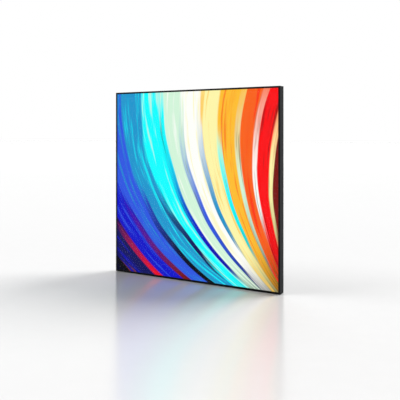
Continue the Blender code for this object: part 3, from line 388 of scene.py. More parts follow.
# The picture is an even fan of brush strokes round the colour wheel. Its root lies beyond the
# film's lower right corner, in shares of the film's width and height from its lower left.
FAN = {"Root U": 1.15, "Root V": -0.15, "Bend": 18.0, "Power": 1.5}
INKS = ("ember", "scarlet", "orange", "gold", "cream", "snow", "mint", "sky", "lagoon", "royal",
        "ultramarine", "navy", "night")


def fan_strokes(first, last):
    """Every stroke, bottom layer first: a broad one for each ink, then a thin one on each seam."""
    step = (last - first) / len(INKS)
    strokes = []
    for index, ink in enumerate(INKS):
        start = first + index * step
        strokes.append({
            "From": start, "To": start + 1.2 * step, "Soft From": 0.6, "Soft To": 0.8,
            "Root": "night", "Middle": ink, "Tip": ink, "Root At": 0.1, "Middle At": 0.5,
            "Tip At": 1.2, "Streak": INKS[max(index - 1, 0)], "Streak Amount": 0.7,
            "Streak Cut": 0.51, "Density": 0.9, "Stretch": 2.2, "Wobble": 1.4, "Seed": float(index),
        })
    for index in range(1, len(INKS)):
        seam = first + index * step
        strokes.append({
            "From": seam - 0.16 * step, "To": seam + 0.2 * step, "Soft From": 0.4, "Soft To": 0.5,
            "Root": "night", "Middle": INKS[(index + 3) % len(INKS)], "Tip": INKS[index],
            "Root At": 0.2, "Middle At": 0.7, "Tip At": 1.3, "Start": 0.25 + 0.1 * (index % 3),
            "End": 1.1 + 0.12 * (index % 4), "Feather": 0.16, "Streak": "night",
            "Streak Amount": 0.5, "Density": 1.2, "Stretch": 2.6, "Wobble": 1.8,
            "Seed": 20.0 + index,
        })
    return strokes


def build_picture(settings, low, high):
    """The printed film: bands of brush strokes in the film's own plane, lit from behind."""
    material = bpy.data.materials.new("backlit_print")
    material.use_nodes = True
    tree = material.node_tree
    size = high - low
    place = node(tree, "ShaderNodeTexCoord").outputs["Object"]
    on_film = node(tree, "ShaderNodeMapping", {
        "Vector": place,
        "Scale": (1 / size.x, 1.0, 1 / size.z),
        "Location": (-low.x / size.x, 0.0, -low.z / size.z),
    }).outputs["Vector"]
    film = node(tree, "ShaderNodeSeparateXYZ", {"Vector": on_film}).outputs
    fan = use_group(tree, "Fan coordinates", {"U": film["X"], "V": film["Z"], **FAN})
    colour = paint(settings.night)
    angles = math.degrees(settings.first_angle), math.degrees(settings.last_angle)
    for stroke in fan_strokes(*angles):
        for ink in ("Root", "Middle", "Tip", "Streak"):
            stroke[ink] = paint(getattr(settings, stroke[ink]))
        stroke["Density"] *= settings.bristles
        colour = use_group(tree, "Brush band", {
            "Under": colour, "Across": fan["Angle"], "Along": fan["Distance"], **stroke})["Color"]
    shader = tree.nodes["Principled BSDF"]
    shader.inputs["Base Color"].default_value = paint(settings.night)
    shader.inputs["Roughness"].default_value = 0.4
    shader.inputs["Specular IOR Level"].default_value = 0.0
    shader.inputs["Emission Strength"].default_value = settings.brightness
    tree.links.new(colour, shader.inputs["Emission Color"])
    return material


def build_clear(name, tint, roughness, index):
    """Clear acrylic with a plain transmission and faint unevenness in its gloss."""
    material = bpy.data.materials.new(name)
    material.use_nodes = True
    tree = material.node_tree
    shader = tree.nodes["Principled BSDF"]
    grain = use_group(tree, "Surface grain", {
        "Color": paint(tint), "Second Color": paint(tint), "Mottle": 0.0, "Size": 0.02,
        "Roughness": roughness, "Roughness Range": roughness, "Relief": 0.0,
    })
    shader.inputs["Base Color"].default_value = paint(tint)
    tree.links.new(grain["Roughness"], shader.inputs["Roughness"])
    shader.inputs["Transmission Weight"].default_value = 1.0
    shader.inputs["IOR"].default_value = index
    return material


def build_finish(name, colour, second=None, mottle=0.35, size=0.0008, stretch=(1.0, 1.0, 1.0),
                 roughness=0.5, rough_range=0.15, relief=0.00004, metallic=0.0, worn=None,
                 worn_roughness=0.3, wear=0.0, coat=0.0, specular=0.5, index=1.5):
    """A surface with grain and, where it wears, a lighter line along its edges."""
    material = bpy.data.materials.new(name)
    material.use_nodes = True
    tree = material.node_tree
    shader = tree.nodes["Principled BSDF"]
    if second is None:
        second = tuple(0.6 * value for value in colour)
    grain = use_group(tree, "Surface grain", {
        "Color": paint(colour), "Second Color": paint(second), "Mottle": mottle, "Size": size,
        "Stretch": stretch, "Roughness": roughness, "Roughness Range": rough_range,
        "Relief": relief,
    })
    surface = grain
    if wear > 0:
        surface = use_group(tree, "Edge wear", {
            "Color": grain["Color"], "Roughness": grain["Roughness"], "Worn Color": paint(worn),
            "Worn Roughness": worn_roughness, "Amount": wear,
        })
    tree.links.new(surface["Color"], shader.inputs["Base Color"])
    tree.links.new(surface["Roughness"], shader.inputs["Roughness"])
    tree.links.new(grain["Normal"], shader.inputs["Normal"])
    shader.inputs["Metallic"].default_value = metallic
    shader.inputs["Coat Weight"].default_value = coat
    shader.inputs["IOR"].default_value = index
    shader.inputs["Specular IOR Level"].default_value = specular
    return material


def build_finishes(finish):
    """Every finish of the object, built once."""
    wear = finish.wear
    build_finish("charcoal_coat", finish.coat, size=finish.grain, roughness=0.42, worn=finish.worn,
                 wear=wear * 0.6, specular=0.06)
    build_finish("black_coat", finish.sheet, size=finish.grain, roughness=0.46, worn=finish.worn,
                 wear=wear, relief=0.00015)
    build_finish("black_steel_coat", finish.sheet, size=0.0012, roughness=0.38, worn=finish.worn,
                 wear=wear, relief=0.00012)
    build_finish("moulded_plastic", finish.plastic, size=0.0004, roughness=0.48, relief=0.00005,
                 worn=linear(58, 58, 60), wear=0.3)
    build_finish("glossy_plastic", finish.plastic, size=0.003, roughness=0.2, relief=0.0, coat=0.4)
    build_finish("blackened_screw", linear(62, 62, 66), size=0.0003, roughness=0.34, metallic=1.0,
                 worn=linear(176, 176, 180), wear=0.8)
    build_finish("mark_paint", finish.paint, size=0.0005, roughness=0.5, mottle=0.15)
    build_finish("turned_aluminium", linear(206, 208, 211), size=0.0004, stretch=(1.0, 1.0, 14.0),
                 roughness=0.28, metallic=1.0, mottle=0.25)
    build_finish("zinc_plate", linear(176, 180, 184), second=linear(140, 146, 152), size=0.0025,
                 roughness=0.34, metallic=1.0, mottle=0.7)
    build_finish("brass", linear(214, 176, 96), size=0.0006, roughness=0.25, metallic=1.0,
                 mottle=0.2)
    build_finish("copper_winding", linear(196, 108, 62), second=linear(110, 48, 24), size=0.0007,
                 roughness=0.28, metallic=1.0, mottle=0.8, relief=0.0002)
    build_finish("opal_acrylic", linear(244, 244, 240), second=linear(232, 233, 230), size=0.004,
                 roughness=0.55, mottle=0.5)
    build_finish("reflector_film", linear(250, 250, 248), second=linear(236, 238, 238), size=0.001,
                 roughness=0.3, mottle=0.4)
    build_finish("backing_foam", linear(232, 231, 226), second=linear(190, 188, 180), size=0.0009,
                 roughness=0.9, mottle=0.8, relief=0.0004)
    build_finish("white_solder_mask", linear(236, 236, 228), size=0.0006, roughness=0.35,
                 mottle=0.2)
    build_finish("green_solder_mask", linear(20, 96, 52), second=linear(10, 60, 34), size=0.0012,
                 stretch=(1.0, 1.0, 0.25), roughness=0.3, mottle=0.9, coat=0.3)
    build_finish("chip_black", linear(30, 30, 32), size=0.0003, roughness=0.55, mottle=0.3)
    build_finish("phosphor", linear(250, 214, 70), second=linear(240, 190, 40), size=0.0004,
                 roughness=0.4, mottle=0.5)
    build_finish("black_rubber", linear(24, 24, 24), second=linear(36, 35, 34), size=0.0012,
                 roughness=0.82, mottle=0.6, relief=0.0001)
    build_finish("red_silicone", linear(178, 34, 30), size=0.002, roughness=0.42, mottle=0.3)
    build_finish("dot_ink", linear(246, 246, 242), size=0.0005, roughness=0.6, mottle=0.2)


# ---------------------------------------------------------------- meshes
def centre(node_name):
    low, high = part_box(node_name)
    return (low + high) / 2


def plain_mesh(obj, name):
    """The evaluated object as a new mesh with no modifiers, its source removed."""
    graph = bpy.context.evaluated_depsgraph_get()
    mesh = bpy.data.meshes.new_from_object(obj.evaluated_get(graph))
    mesh.name = name
    bpy.data.objects.remove(obj)
    return mesh


def add_object(name, data):
    """Adds an object that holds a mesh, a lamp or a camera."""
    obj = bpy.data.objects.new(name, data)
    bpy.context.scene.collection.objects.link(obj)
    return obj


def finish_piece(name, mesh, body, finish, replaces=(), crease=20):
    """Makes a mesh a finished piece that moves with a body. Its flat faces stay flat."""
    mesh.materials.clear()
    mesh.materials.append(bpy.data.materials[finish])
    mesh.shade_smooth()
    mesh.set_sharp_from_angle(angle=math.radians(crease))
    obj = add_object(name, mesh)
    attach(obj, body)
    if replaces:
        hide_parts(*replaces)
    return obj


def dress(finish, *node_names):
    """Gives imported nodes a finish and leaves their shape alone."""
    for name in node_names:
        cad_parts[name].material_slots[0].material = bpy.data.materials[finish]


def bevelled(node_name, width, segments=2):
    """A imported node's shape with its sharp edges rounded."""
    shape = bmesh.new()
    shape.from_mesh(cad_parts[node_name].data)
    bmesh.ops.remove_doubles(shape, verts=shape.verts, dist=WELD)
    bmesh.ops.dissolve_limit(
        shape, angle_limit=math.radians(0.5), verts=shape.verts, edges=shape.edges)
    mesh = bpy.data.meshes.new(node_name)
    shape.to_mesh(mesh)
    shape.free()
    obj = add_object(node_name + "_soft", mesh)
    bevel = obj.modifiers.new("soft edges", "BEVEL")
    bevel.width = width
    bevel.segments = segments
    bevel.limit_method = "ANGLE"
    bevel.angle_limit = math.radians(40)
    return plain_mesh(obj, node_name)


def soften(node_name, body, finish, width, segments=2):
    """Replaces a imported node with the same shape, its edges rounded."""
    mesh = bevelled(node_name, width, segments)
    return finish_piece(node_name + "_finished", mesh, body, finish, [node_name])


def turned(profile, steps, matrix):
    """A closed turned mesh from (radius, height) points, bottom centre to top centre, about Z."""
    shape = bmesh.new()
    rings = []
    for radius, height in profile:
        if radius == 0:
            rings.append([shape.verts.new((0, 0, height))] * steps)
            continue
        angles = [FULL_TURN * i / steps for i in range(steps)]
        rings.append([
            shape.verts.new((radius * math.cos(a), radius * math.sin(a), height)) for a in angles])
    for lower, upper in zip(rings, rings[1:]):
        for i in range(steps):
            corners = [lower[i], lower[(i + 1) % steps], upper[(i + 1) % steps], upper[i]]
            corners = list(dict.fromkeys(corners))
            if len(corners) > 2:
                shape.faces.new(corners)
    bmesh.ops.transform(shape, matrix=matrix, verts=shape.verts)
    bmesh.ops.recalc_face_normals(shape, faces=shape.faces)
    mesh = bpy.data.meshes.new("turned")
    shape.to_mesh(mesh)
    shape.free()
    return mesh


BACKWARD = Matrix.Rotation(-math.pi / 2, 4, "X")  # turns +Z to +Y, the panel's back


def facing_back(place):
    return Matrix.Translation(place) @ BACKWARD


def merge(meshes):
    """Several meshes as one."""
    shape = bmesh.new()
    for mesh in meshes:
        shape.from_mesh(mesh)
        bpy.data.meshes.remove(mesh)
    joined = bpy.data.meshes.new("merged")
    shape.to_mesh(joined)
    shape.free()
    return joined


def quad(name, *corners):
    mesh = bpy.data.meshes.new(name)
    mesh.from_pydata(corners, [], [(0, 1, 2, 3)])
    return mesh


def flat_ring(inner, outer, thick):
    """The profile of a flat ring, for turned()."""
    return [(inner, 0), (outer, 0), (outer, thick), (inner, thick), (inner, 0)]


def block(low, high, edge=0.0):
    """A box between two corners, with its edges rounded."""
    size = Vector(high) - Vector(low)
    matrix = Matrix.Translation((Vector(low) + Vector(high)) / 2) @ Matrix.Diagonal((*size, 1.0))
    shape = bmesh.new()
    bmesh.ops.create_cube(shape, size=1.0, matrix=matrix)
    if edge > 0:
        bmesh.ops.bevel(
            shape, geom=shape.edges, offset=edge, segments=2, profile=0.5, affect="EDGES")
    mesh = bpy.data.meshes.new("block")
    shape.to_mesh(mesh)
    shape.free()
    return mesh


def cut_by(mesh, *tools):
    """A mesh with the tools' meshes cut out of it."""
    obj = add_object("to_cut", mesh)
    holders = []
    for tool in tools:
        holder = add_object("tool", tool)
        holders.append(holder)
        boolean = obj.modifiers.new("cut", "BOOLEAN")
        boolean.operation = "DIFFERENCE"
        boolean.object = holder
    result = plain_mesh(obj, mesh.name)
    for holder in holders:
        bpy.data.objects.remove(holder)
    return result


# ---------------------------------------------------------------- geometry nodes
def new_geometry_tree(name, inputs):
    """A Geometry Nodes tree with a geometry input and inputs given as name: (kind, default)."""
    tree = bpy.data.node_groups.new(name, "GeometryNodeTree")
    tree.interface.new_socket(name="Geometry", in_out="INPUT", socket_type="NodeSocketGeometry")
    tree.interface.new_socket(name="Geometry", in_out="OUTPUT", socket_type="NodeSocketGeometry")
    for label, (kind, default) in inputs.items():
        socket = tree.interface.new_socket(name=label, in_out="INPUT", socket_type=kind)
        if default is not None:
            socket.default_value = default
    return tree, node(tree, "NodeGroupInput").outputs, node(tree, "NodeGroupOutput").inputs


def finish_tree(tree, given, out, instances):
    """Ends a tree: instances become real faces with the given material."""
    real = node(tree, "GeometryNodeRealizeInstances", {"Geometry": instances}).outputs[0]
    painted = node(
        tree, "GeometryNodeSetMaterial", {"Geometry": real, "Material": given["Material"]})
    tree.links.new(painted.outputs[0], out["Geometry"])


def build_scatter_tree():
    """One part at every point of a mesh, each turned about its own axis by a random angle."""
    tree, given, out = new_geometry_tree("Part at each point", {
        "Part": A_PART, "Turn Axis": (VECTOR, (0.0, 1.0, 0.0)),
        "Largest Turn": (NUMBER, 0.0), "Seed": (INTEGER, 1), "Material": A_MATERIAL,
    })
    part = node(tree, "GeometryNodeObjectInfo", {"Object": given["Part"]}).outputs["Geometry"]
    angle = node(tree, "FunctionNodeRandomValue", {
        "Min": 0.0, "Max": given["Largest Turn"], "Seed": given["Seed"],
    }, data_type="FLOAT").outputs[1]
    turn = node(
        tree, "FunctionNodeAxisAngleToRotation", {"Axis": given["Turn Axis"], "Angle": angle})
    placed = node(tree, "GeometryNodeInstanceOnPoints", {
        "Points": given["Geometry"], "Instance": part, "Rotation": turn.outputs[0]})
    finish_tree(tree, given, out, placed.outputs[0])


def build_grid_tree():
    """One part at each crossing of an upright grid in the XZ plane."""
    tree, given, out = new_geometry_tree("Part on a grid", {
        "Part": A_PART, "Width": (NUMBER, 1.0), "Height": (NUMBER, 1.0),
        "Columns": (INTEGER, 10), "Rows": (INTEGER, 10), "Centre": (VECTOR, ORIGIN),
        "Material": A_MATERIAL,
    })
    grid = node(tree, "GeometryNodeMeshGrid", {
        "Size X": given["Width"], "Size Y": given["Height"], "Vertices X": given["Columns"],
        "Vertices Y": given["Rows"],
    }).outputs["Mesh"]
    upright = node(tree, "GeometryNodeTransform", {
        "Geometry": grid, "Translation": given["Centre"], "Rotation": (math.pi / 2, 0.0, 0.0),
    }).outputs[0]
    part = node(tree, "GeometryNodeObjectInfo", {"Object": given["Part"]}).outputs["Geometry"]
    placed = node(tree, "GeometryNodeInstanceOnPoints", {"Points": upright, "Instance": part})
    finish_tree(tree, given, out, placed.outputs[0])


def build_dial_tree():
    """Marks round a dial in the XZ plane, which grow from the first to the last."""
    tree, given, out = new_geometry_tree("Dial marks", {
        "Part": A_PART, "Centre": (VECTOR, ORIGIN),
        "Radius": (NUMBER, 0.01), "Sweep": (NUMBER, 5.0), "Count": (INTEGER, 11),
        "First Size": (NUMBER, 0.5), "Material": A_MATERIAL,
    })
    line = node(tree, "GeometryNodeMeshLine", {
        "Count": given["Count"], "Start Location": ORIGIN, "Offset": ORIGIN}).outputs[0]
    index = node(tree, "GeometryNodeInputIndex").outputs[0]
    last = minus(tree, given["Count"], 1.0)
    share = calc(tree, "DIVIDE", index, last)
    angle = times(tree, minus(tree, share, 0.5), given["Sweep"])
    outward = node(tree, "ShaderNodeCombineXYZ", {
        "X": times(tree, calc(tree, "SINE", angle), -1.0), "Z": calc(tree, "COSINE", angle)})
    away = node(tree, "ShaderNodeVectorMath", {0: outward.outputs[0]}, operation="SCALE")
    tree.links.new(given["Radius"], away.inputs["Scale"])
    place = node(
        tree, "ShaderNodeVectorMath", {0: away.outputs[0], 1: given["Centre"]}, operation="ADD")
    points = node(tree, "GeometryNodeSetPosition", {"Geometry": line, "Position": place.outputs[0]})
    turn = node(tree, "FunctionNodeAxisAngleToRotation", {
        "Axis": (0.0, -1.0, 0.0), "Angle": times(tree, angle, -1.0)})
    grow = ease(tree, share, 0.0, 1.0, given["First Size"], 1.0, smooth=False)
    size = node(tree, "ShaderNodeCombineXYZ", {"X": 1.0, "Y": 1.0, "Z": grow})
    part = node(tree, "GeometryNodeObjectInfo", {"Object": given["Part"]}).outputs["Geometry"]
    placed = node(tree, "GeometryNodeInstanceOnPoints", {
        "Points": points.outputs[0], "Instance": part, "Rotation": turn.outputs[0],
        "Scale": size.outputs[0]})
    finish_tree(tree, given, out, placed.outputs[0])


def build_board_tree():
    """Small components on a board's rear face, square to its edges and never on each other."""
    tree, given, out = new_geometry_tree("Small components", {
        "Part": A_PART, "Spacing": (NUMBER, 0.006), "Seed": (INTEGER, 4),
        "Material": A_MATERIAL,
    })
    points = node(tree, "GeometryNodeDistributePointsOnFaces", {
        "Mesh": given["Geometry"], "Distance Min": given["Spacing"], "Density Max": 40000.0,
        "Seed": given["Seed"]}, distribute_method="POISSON").outputs["Points"]
    size = node(tree, "FunctionNodeRandomValue", {
        "Min": (0.6, 0.6, 0.6), "Max": (1.5, 1.3, 2.0), "Seed": given["Seed"]},
        data_type="FLOAT_VECTOR").outputs[0]
    part = node(tree, "GeometryNodeObjectInfo", {"Object": given["Part"]}).outputs["Geometry"]
    placed = node(
        tree, "GeometryNodeInstanceOnPoints", {"Points": points, "Instance": part, "Scale": size})
    finish_tree(tree, given, out, placed.outputs[0])


def grow(name, tree_name, host, part, material, **inputs):
    """Runs a tree on a host mesh and returns its result as a plain mesh."""
    obj = add_object(name, host)
    holder = add_object(name + "_part", part)
    modifier = obj.modifiers.new("grow", "NODES")
    modifier.node_group = bpy.data.node_groups[tree_name]
    sockets = {
        item.name: item.identifier
        for item in modifier.node_group.interface.items_tree
        if item.item_type == "SOCKET" and item.in_out == "INPUT"
    }
    modifier[sockets["Part"]] = holder
    modifier[sockets["Material"]] = bpy.data.materials[material]
    for label, value in inputs.items():
        modifier[sockets[label.replace("_", " ")]] = value
    mesh = plain_mesh(obj, name)
    bpy.data.objects.remove(holder)
    return mesh


def points_mesh(places):
    mesh = bpy.data.meshes.new("points")
    mesh.from_pydata([tuple(place) for place in places], [], [])
    return mesh


# ---------------------------------------------------------------- operators
class LIGHTPANEL_OT_finishes(Operator):
    """Build every surface finish that the other steps use"""

    bl_idname = "light_panel.finishes"
    bl_label = "Finishes"

    def execute(self, context):
        build_grain_group()
        build_wear_group()
        build_fan_group()
        build_band_group()
        build_finishes(context.scene.light_panel_finish)
        return {"FINISHED"}


class LIGHTPANEL_OT_repeats(Operator):
    """Build the Geometry Nodes trees that repeat a part"""

    bl_idname = "light_panel.repeats"
    bl_label = "Repeats"

    def execute(self, context):
        build_scatter_tree()
        build_grid_tree()
        build_dial_tree()
        build_board_tree()
        return {"FINISHED"}


class LIGHTPANEL_OT_stage(Operator):
    """Make the camera, the glossy floor, the lamps and the surroundings"""

    bl_idname = "light_panel.stage"
    bl_label = "Stage"

    def execute(self, context):
        settings = context.scene.light_panel_stage
        front = Vector((0.0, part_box("frame_rail_bottom")[0].y, 0.0))
        sine, cosine = math.sin(settings.azimuth), math.cos(settings.azimuth)
        forward = Vector((-sine, cosine, 0.0))
        right = Vector((cosine, sine, 0.0))
        self.add_camera(context, settings, front, forward, right)
        self.add_floor(settings)
        turn = settings.key_turn
        towards = {
            "key": right * math.cos(turn) + forward * math.sin(turn),
            "back": forward,
            "side": -right,
        }
        for name, direction in towards.items():
            height = getattr(settings, f"{name}_height")
            strength = getattr(settings, name)
            self.add_lamp(f"{name}_lamp", direction, height, strength, settings.lamp_spread)
        self.add_surroundings(context, settings)
        context.scene.view_settings.view_transform = "Standard"
        return {"FINISHED"}

    def add_camera(self, context, settings, front, forward, right):
        camera = bpy.data.cameras.new("camera")
        camera.lens = settings.lens
        camera.shift_y = settings.rise
        obj = add_object("camera", camera)
        place = front - forward * settings.distance + right * settings.aside
        place.z = settings.height
        obj.location = place
        obj.rotation_euler = (math.pi / 2, 0.0, settings.azimuth)
        context.scene.camera = obj

    def add_floor(self, settings):
        half = settings.floor_size / 2
        mesh = quad("floor", (-half, -half, 0), (half, -half, 0), (half, half, 0), (-half, half, 0))
        shade = tuple(0.97 * value for value in settings.floor)
        material = build_finish(
            "gloss_floor", settings.floor, second=shade, size=0.05, roughness=0.17,
            rough_range=0.03, relief=0.0, mottle=0.5, index=1.6,
        )
        mesh.materials.append(material)
        floor = add_object("floor", mesh)

    def add_lamp(self, name, towards, height, strength, spread):
        lamp = bpy.data.lights.new(name, "SUN")
        lamp.energy = strength
        lamp.angle = spread
        obj = add_object(name, lamp)
        beam = Vector((towards.x, towards.y, math.tan(height)))
        obj.rotation_euler = beam.to_track_quat("Z", "Y").to_euler()

    def add_surroundings(self, context, settings):
        world = bpy.data.worlds.new("studio")
        world.use_nodes = True
        tree = world.node_tree
        tree.nodes.clear()
        path = node(tree, "ShaderNodeLightPath").outputs
        seen = calc(tree, "MAXIMUM", path["Is Camera Ray"], path["Is Glossy Ray"])
        strength = ease(tree, seen, 0.0, 1.0, settings.fill, settings.backdrop, smooth=False)
        light = node(tree, "ShaderNodeBackground", {"Color": WHITE, "Strength": strength})
        node(tree, "ShaderNodeOutputWorld", {"Surface": light.outputs[0]})
        context.scene.world = world


class LIGHTPANEL_OT_frame(Operator):
    """Finish the frame's four rails and its corner keys"""

    bl_idname = "light_panel.frame"
    bl_label = "Frame"

    def execute(self, context):
        edge = context.scene.light_panel_finish.edge
        for side in SIDES:
            soften(f"frame_rail_{side}", "panel", "charcoal_coat", edge)
        keys = [f"corner_key_{z}_{x}" for z in ("bottom", "top") for x in ("left", "right")]
        dress("zinc_plate", *keys)
        return {"FINISHED"}


class LIGHTPANEL_OT_picture(Operator):
    """Finish the printed film and the clear cover over it"""

    bl_idname = "light_panel.picture"
    bl_label = "Picture"

    def execute(self, context):
        settings = context.scene.light_panel_picture
        low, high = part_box("picture_film")
        build_picture(settings, low, high)
        dress("backlit_print", "picture_film")
        build_clear("clear_cover", (0.99, 1.0, 1.0), 0.03, 1.08)
        dress("clear_cover", "front_cover")
        return {"FINISHED"}


class LIGHTPANEL_OT_light_engine(Operator):
    """Finish the diffuser, the dotted light guide, the reflector, the foam and the LED strips"""

    bl_idname = "light_panel.light_engine"
    bl_label = "Light engine"

    def execute(self, context):
        settings = context.scene.light_panel_hardware
        dress("opal_acrylic", "diffuser_sheet")
        dress("reflector_film", "reflector_sheet")
        dress("backing_foam", "foam_backing")
        dress("white_solder_mask", "led_strip_bottom", "led_strip_top")
        build_clear("guide_acrylic", (0.97, 1.0, 0.99), 0.04, 1.49)
        dress("guide_acrylic", "light_guide")
        self.print_dots(settings)
        for side in ("bottom", "top"):
            self.add_phosphor(side)
        return {"FINISHED"}

    def print_dots(self, settings):
        """Light escapes the guide at the dots printed on its back."""
        low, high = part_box("light_guide")
        width = high.x - low.x - settings.dot_pitch
        count = int(width / settings.dot_pitch) + 1
        profile = [(0, 0), (0.0011, 0), (0.0009, 0.00004), (0, 0.00005)]
        dot = turned(profile, 10, facing_back(ORIGIN))
        middle = Vector(((low.x + high.x) / 2, high.y + 0.00001, (low.z + high.z) / 2))
        mesh = grow("guide_dots", "Part on a grid", points_mesh([]), dot, "dot_ink", Width=width,
                    Height=width, Columns=count, Rows=count, Centre=middle)
        finish_piece("guide_dots", mesh, "panel", "dot_ink")

    def add_phosphor(self, side):
        """A yellow window on each LED, found from the strip's own raised faces."""
        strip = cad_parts[f"led_strip_{side}"].data
        inward = 1 if side == "bottom" else -1
        level = max(inward * vertex.co.z for vertex in strip.vertices)
        tops = [
            polygon.center for polygon in strip.polygons
            if abs(inward * polygon.center.z - level) < WELD * 5 and inward * polygon.normal.z > 0.9
        ]
        places = {}
        for top in tops:
            key = round(top.x, 2)
            places.setdefault(key, []).append(top)
        middles = [sum(group, Vector()) / len(group) for group in places.values()]
        window = block((-0.0012, -0.0009, 0.0), (0.0012, 0.0009, inward * 0.00008))
        mesh = grow(f"phosphor_{side}", "Part at each point", points_mesh(middles), window,
                    "phosphor")
        finish_piece(f"phosphor_{side}", mesh, "panel", "phosphor")


class LIGHTPANEL_OT_back(Operator):
    """Finish the back plate, the mounting plate with its threads, and the rivets"""

    bl_idname = "light_panel.back"
    bl_label = "Back"

    def execute(self, context):
        finish = context.scene.light_panel_finish
        settings = context.scene.light_panel_hardware
        soften("back_plate", "panel", "black_coat", finish.edge * 0.6)
        soften("mount_plate", "panel", "black_steel_coat", finish.edge)
        self.add_threads()
        self.add_rivets(settings)
        return {"FINISHED"}

    def add_threads(self, pitch=0.0007, outer=0.00205, inner=0.0017, square=0.100, sunk=0.0002):
        """The threaded inserts in the mounting plate's four holes."""
        low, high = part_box("mount_plate")
        middle = centre("mount_plate")
        turns = int((high.y - low.y - 2 * sunk) / pitch)
        profile = [(outer, 0.0)]
        for number in range(turns):
            for radius, share in ((inner, 0.25), (inner + 0.0002, 0.75)):
                profile.append((radius, (number + share) * pitch))
        profile += [(outer, turns * pitch), (outer, 0.0)]
        insert = turned(profile, 24, facing_back(ORIGIN))
        places = [
            (middle.x + sx * square / 2, low.y + sunk, middle.z + sz * square / 2)
            for sx in (-1, 1) for sz in (-1, 1)
        ]
        mesh = grow("mount_threads", "Part at each point", points_mesh(places), insert,
                    "zinc_plate")
        finish_piece("mount_threads", mesh, "panel", "zinc_plate")

    def add_rivets(self, settings, inset=0.012, bracket_sheet=0.002, aside=0.0118, from_end=0.008):
        """Domed rivets through the mounting plate and through the feet's brackets."""
        radius, first, last, steps = settings.rivet_radius, 12, 84, 5
        angles = [math.radians(first + (last - first) * i / steps) for i in range(steps + 1)]
        dome = [(radius * math.cos(a), radius * math.sin(a)) for a in angles]
        profile = [(r, h * 0.5) for r, h in ((0, 0), (radius, 0), *dome, (0, radius))]
        rivet = turned(profile, 20, facing_back(ORIGIN))
        low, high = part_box("mount_plate")
        middle = centre("mount_plate")
        places = [(middle.x, high.y, z) for z in (low.z + inset, high.z - inset)]
        places += [(x, high.y, middle.z) for x in (low.x + inset, high.x - inset)]
        for side in ("left", "right"):
            pin = centre(f"foot_pin_{side}")
            low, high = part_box(f"foot_bracket_{side}")
            for x in (pin.x - aside, pin.x + aside):
                for z in (low.z + from_end, high.z - from_end):
                    places.append((x, low.y + bracket_sheet, z))
        mesh = grow("rivets", "Part at each point", points_mesh(places), rivet, "turned_aluminium")
        finish_piece("rivets", mesh, "panel", "turned_aluminium")


class LIGHTPANEL_OT_screws(Operator):
    """Replace the screws of the back plate and the lid with cross-recessed ones"""

    bl_idname = "light_panel.screws"
    bl_label = "Screws"

    def execute(self, context):
        settings = context.scene.light_panel_hardware
        back = [f"back_screw_{side}_{n}" for side in SIDES for n in (1, 2)]
        lid = [f"lid_screw_{n}" for n in range(1, 5)]
        self.replace_screws("back_screws", back, settings)
        self.replace_screws("lid_screws", lid, settings)
        return {"FINISHED"}

    def replace_screws(self, name, nodes, settings):
        low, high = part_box(nodes[0])
        head = (high.x - low.x) / 2
        length = high.y - low.y - settings.head_height
        screw = self.screw_mesh(head, length, settings)
        places = []
        for screw_node in nodes:
            middle = centre(screw_node)
            places.append((middle.x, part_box(screw_node)[1].y - settings.head_height, middle.z))
        mesh = grow(name, "Part at each point", points_mesh(places), screw, "blackened_screw",
                    Largest_Turn=FULL_TURN, Seed=7)
        finish_piece(name, mesh, "panel", "blackened_screw", nodes)

    def screw_mesh(self, head, length, settings):
        """A pan head with a cross recess, on a threaded shank that runs forward."""
        tall = settings.head_height
        shank, pitch = settings.shank_radius, settings.thread_pitch
        profile = [(0, -length), (shank * 0.5, -length)]
        turns = int((length - shank) / pitch)
        for number in range(turns):
            base = -length + shank * 0.6 + number * pitch
            profile += [(shank * 0.8, base), (shank, base + pitch * 0.5)]
        profile += [(shank * 0.8, 0), (head, 0), (head, tall * 0.35)]
        for step in range(1, 7):
            angle = math.radians(90 * step / 6)
            out, up = 0.35 + 0.65 * math.cos(angle), 0.35 + 0.65 * math.sin(angle)
            profile.append((head * out, tall * up))
        profile.append((0, tall))
        body = turned(profile, 28, facing_back(ORIGIN))
        arm, thin, deep = head * 0.62, head * 0.13, tall * 0.8
        tools = [
            block((-arm, tall - deep, -thin), (arm, tall + deep, thin)),
            block((-thin, tall - deep, -arm), (thin, tall + deep, arm)),
        ]
        return cut_by(body, *tools)


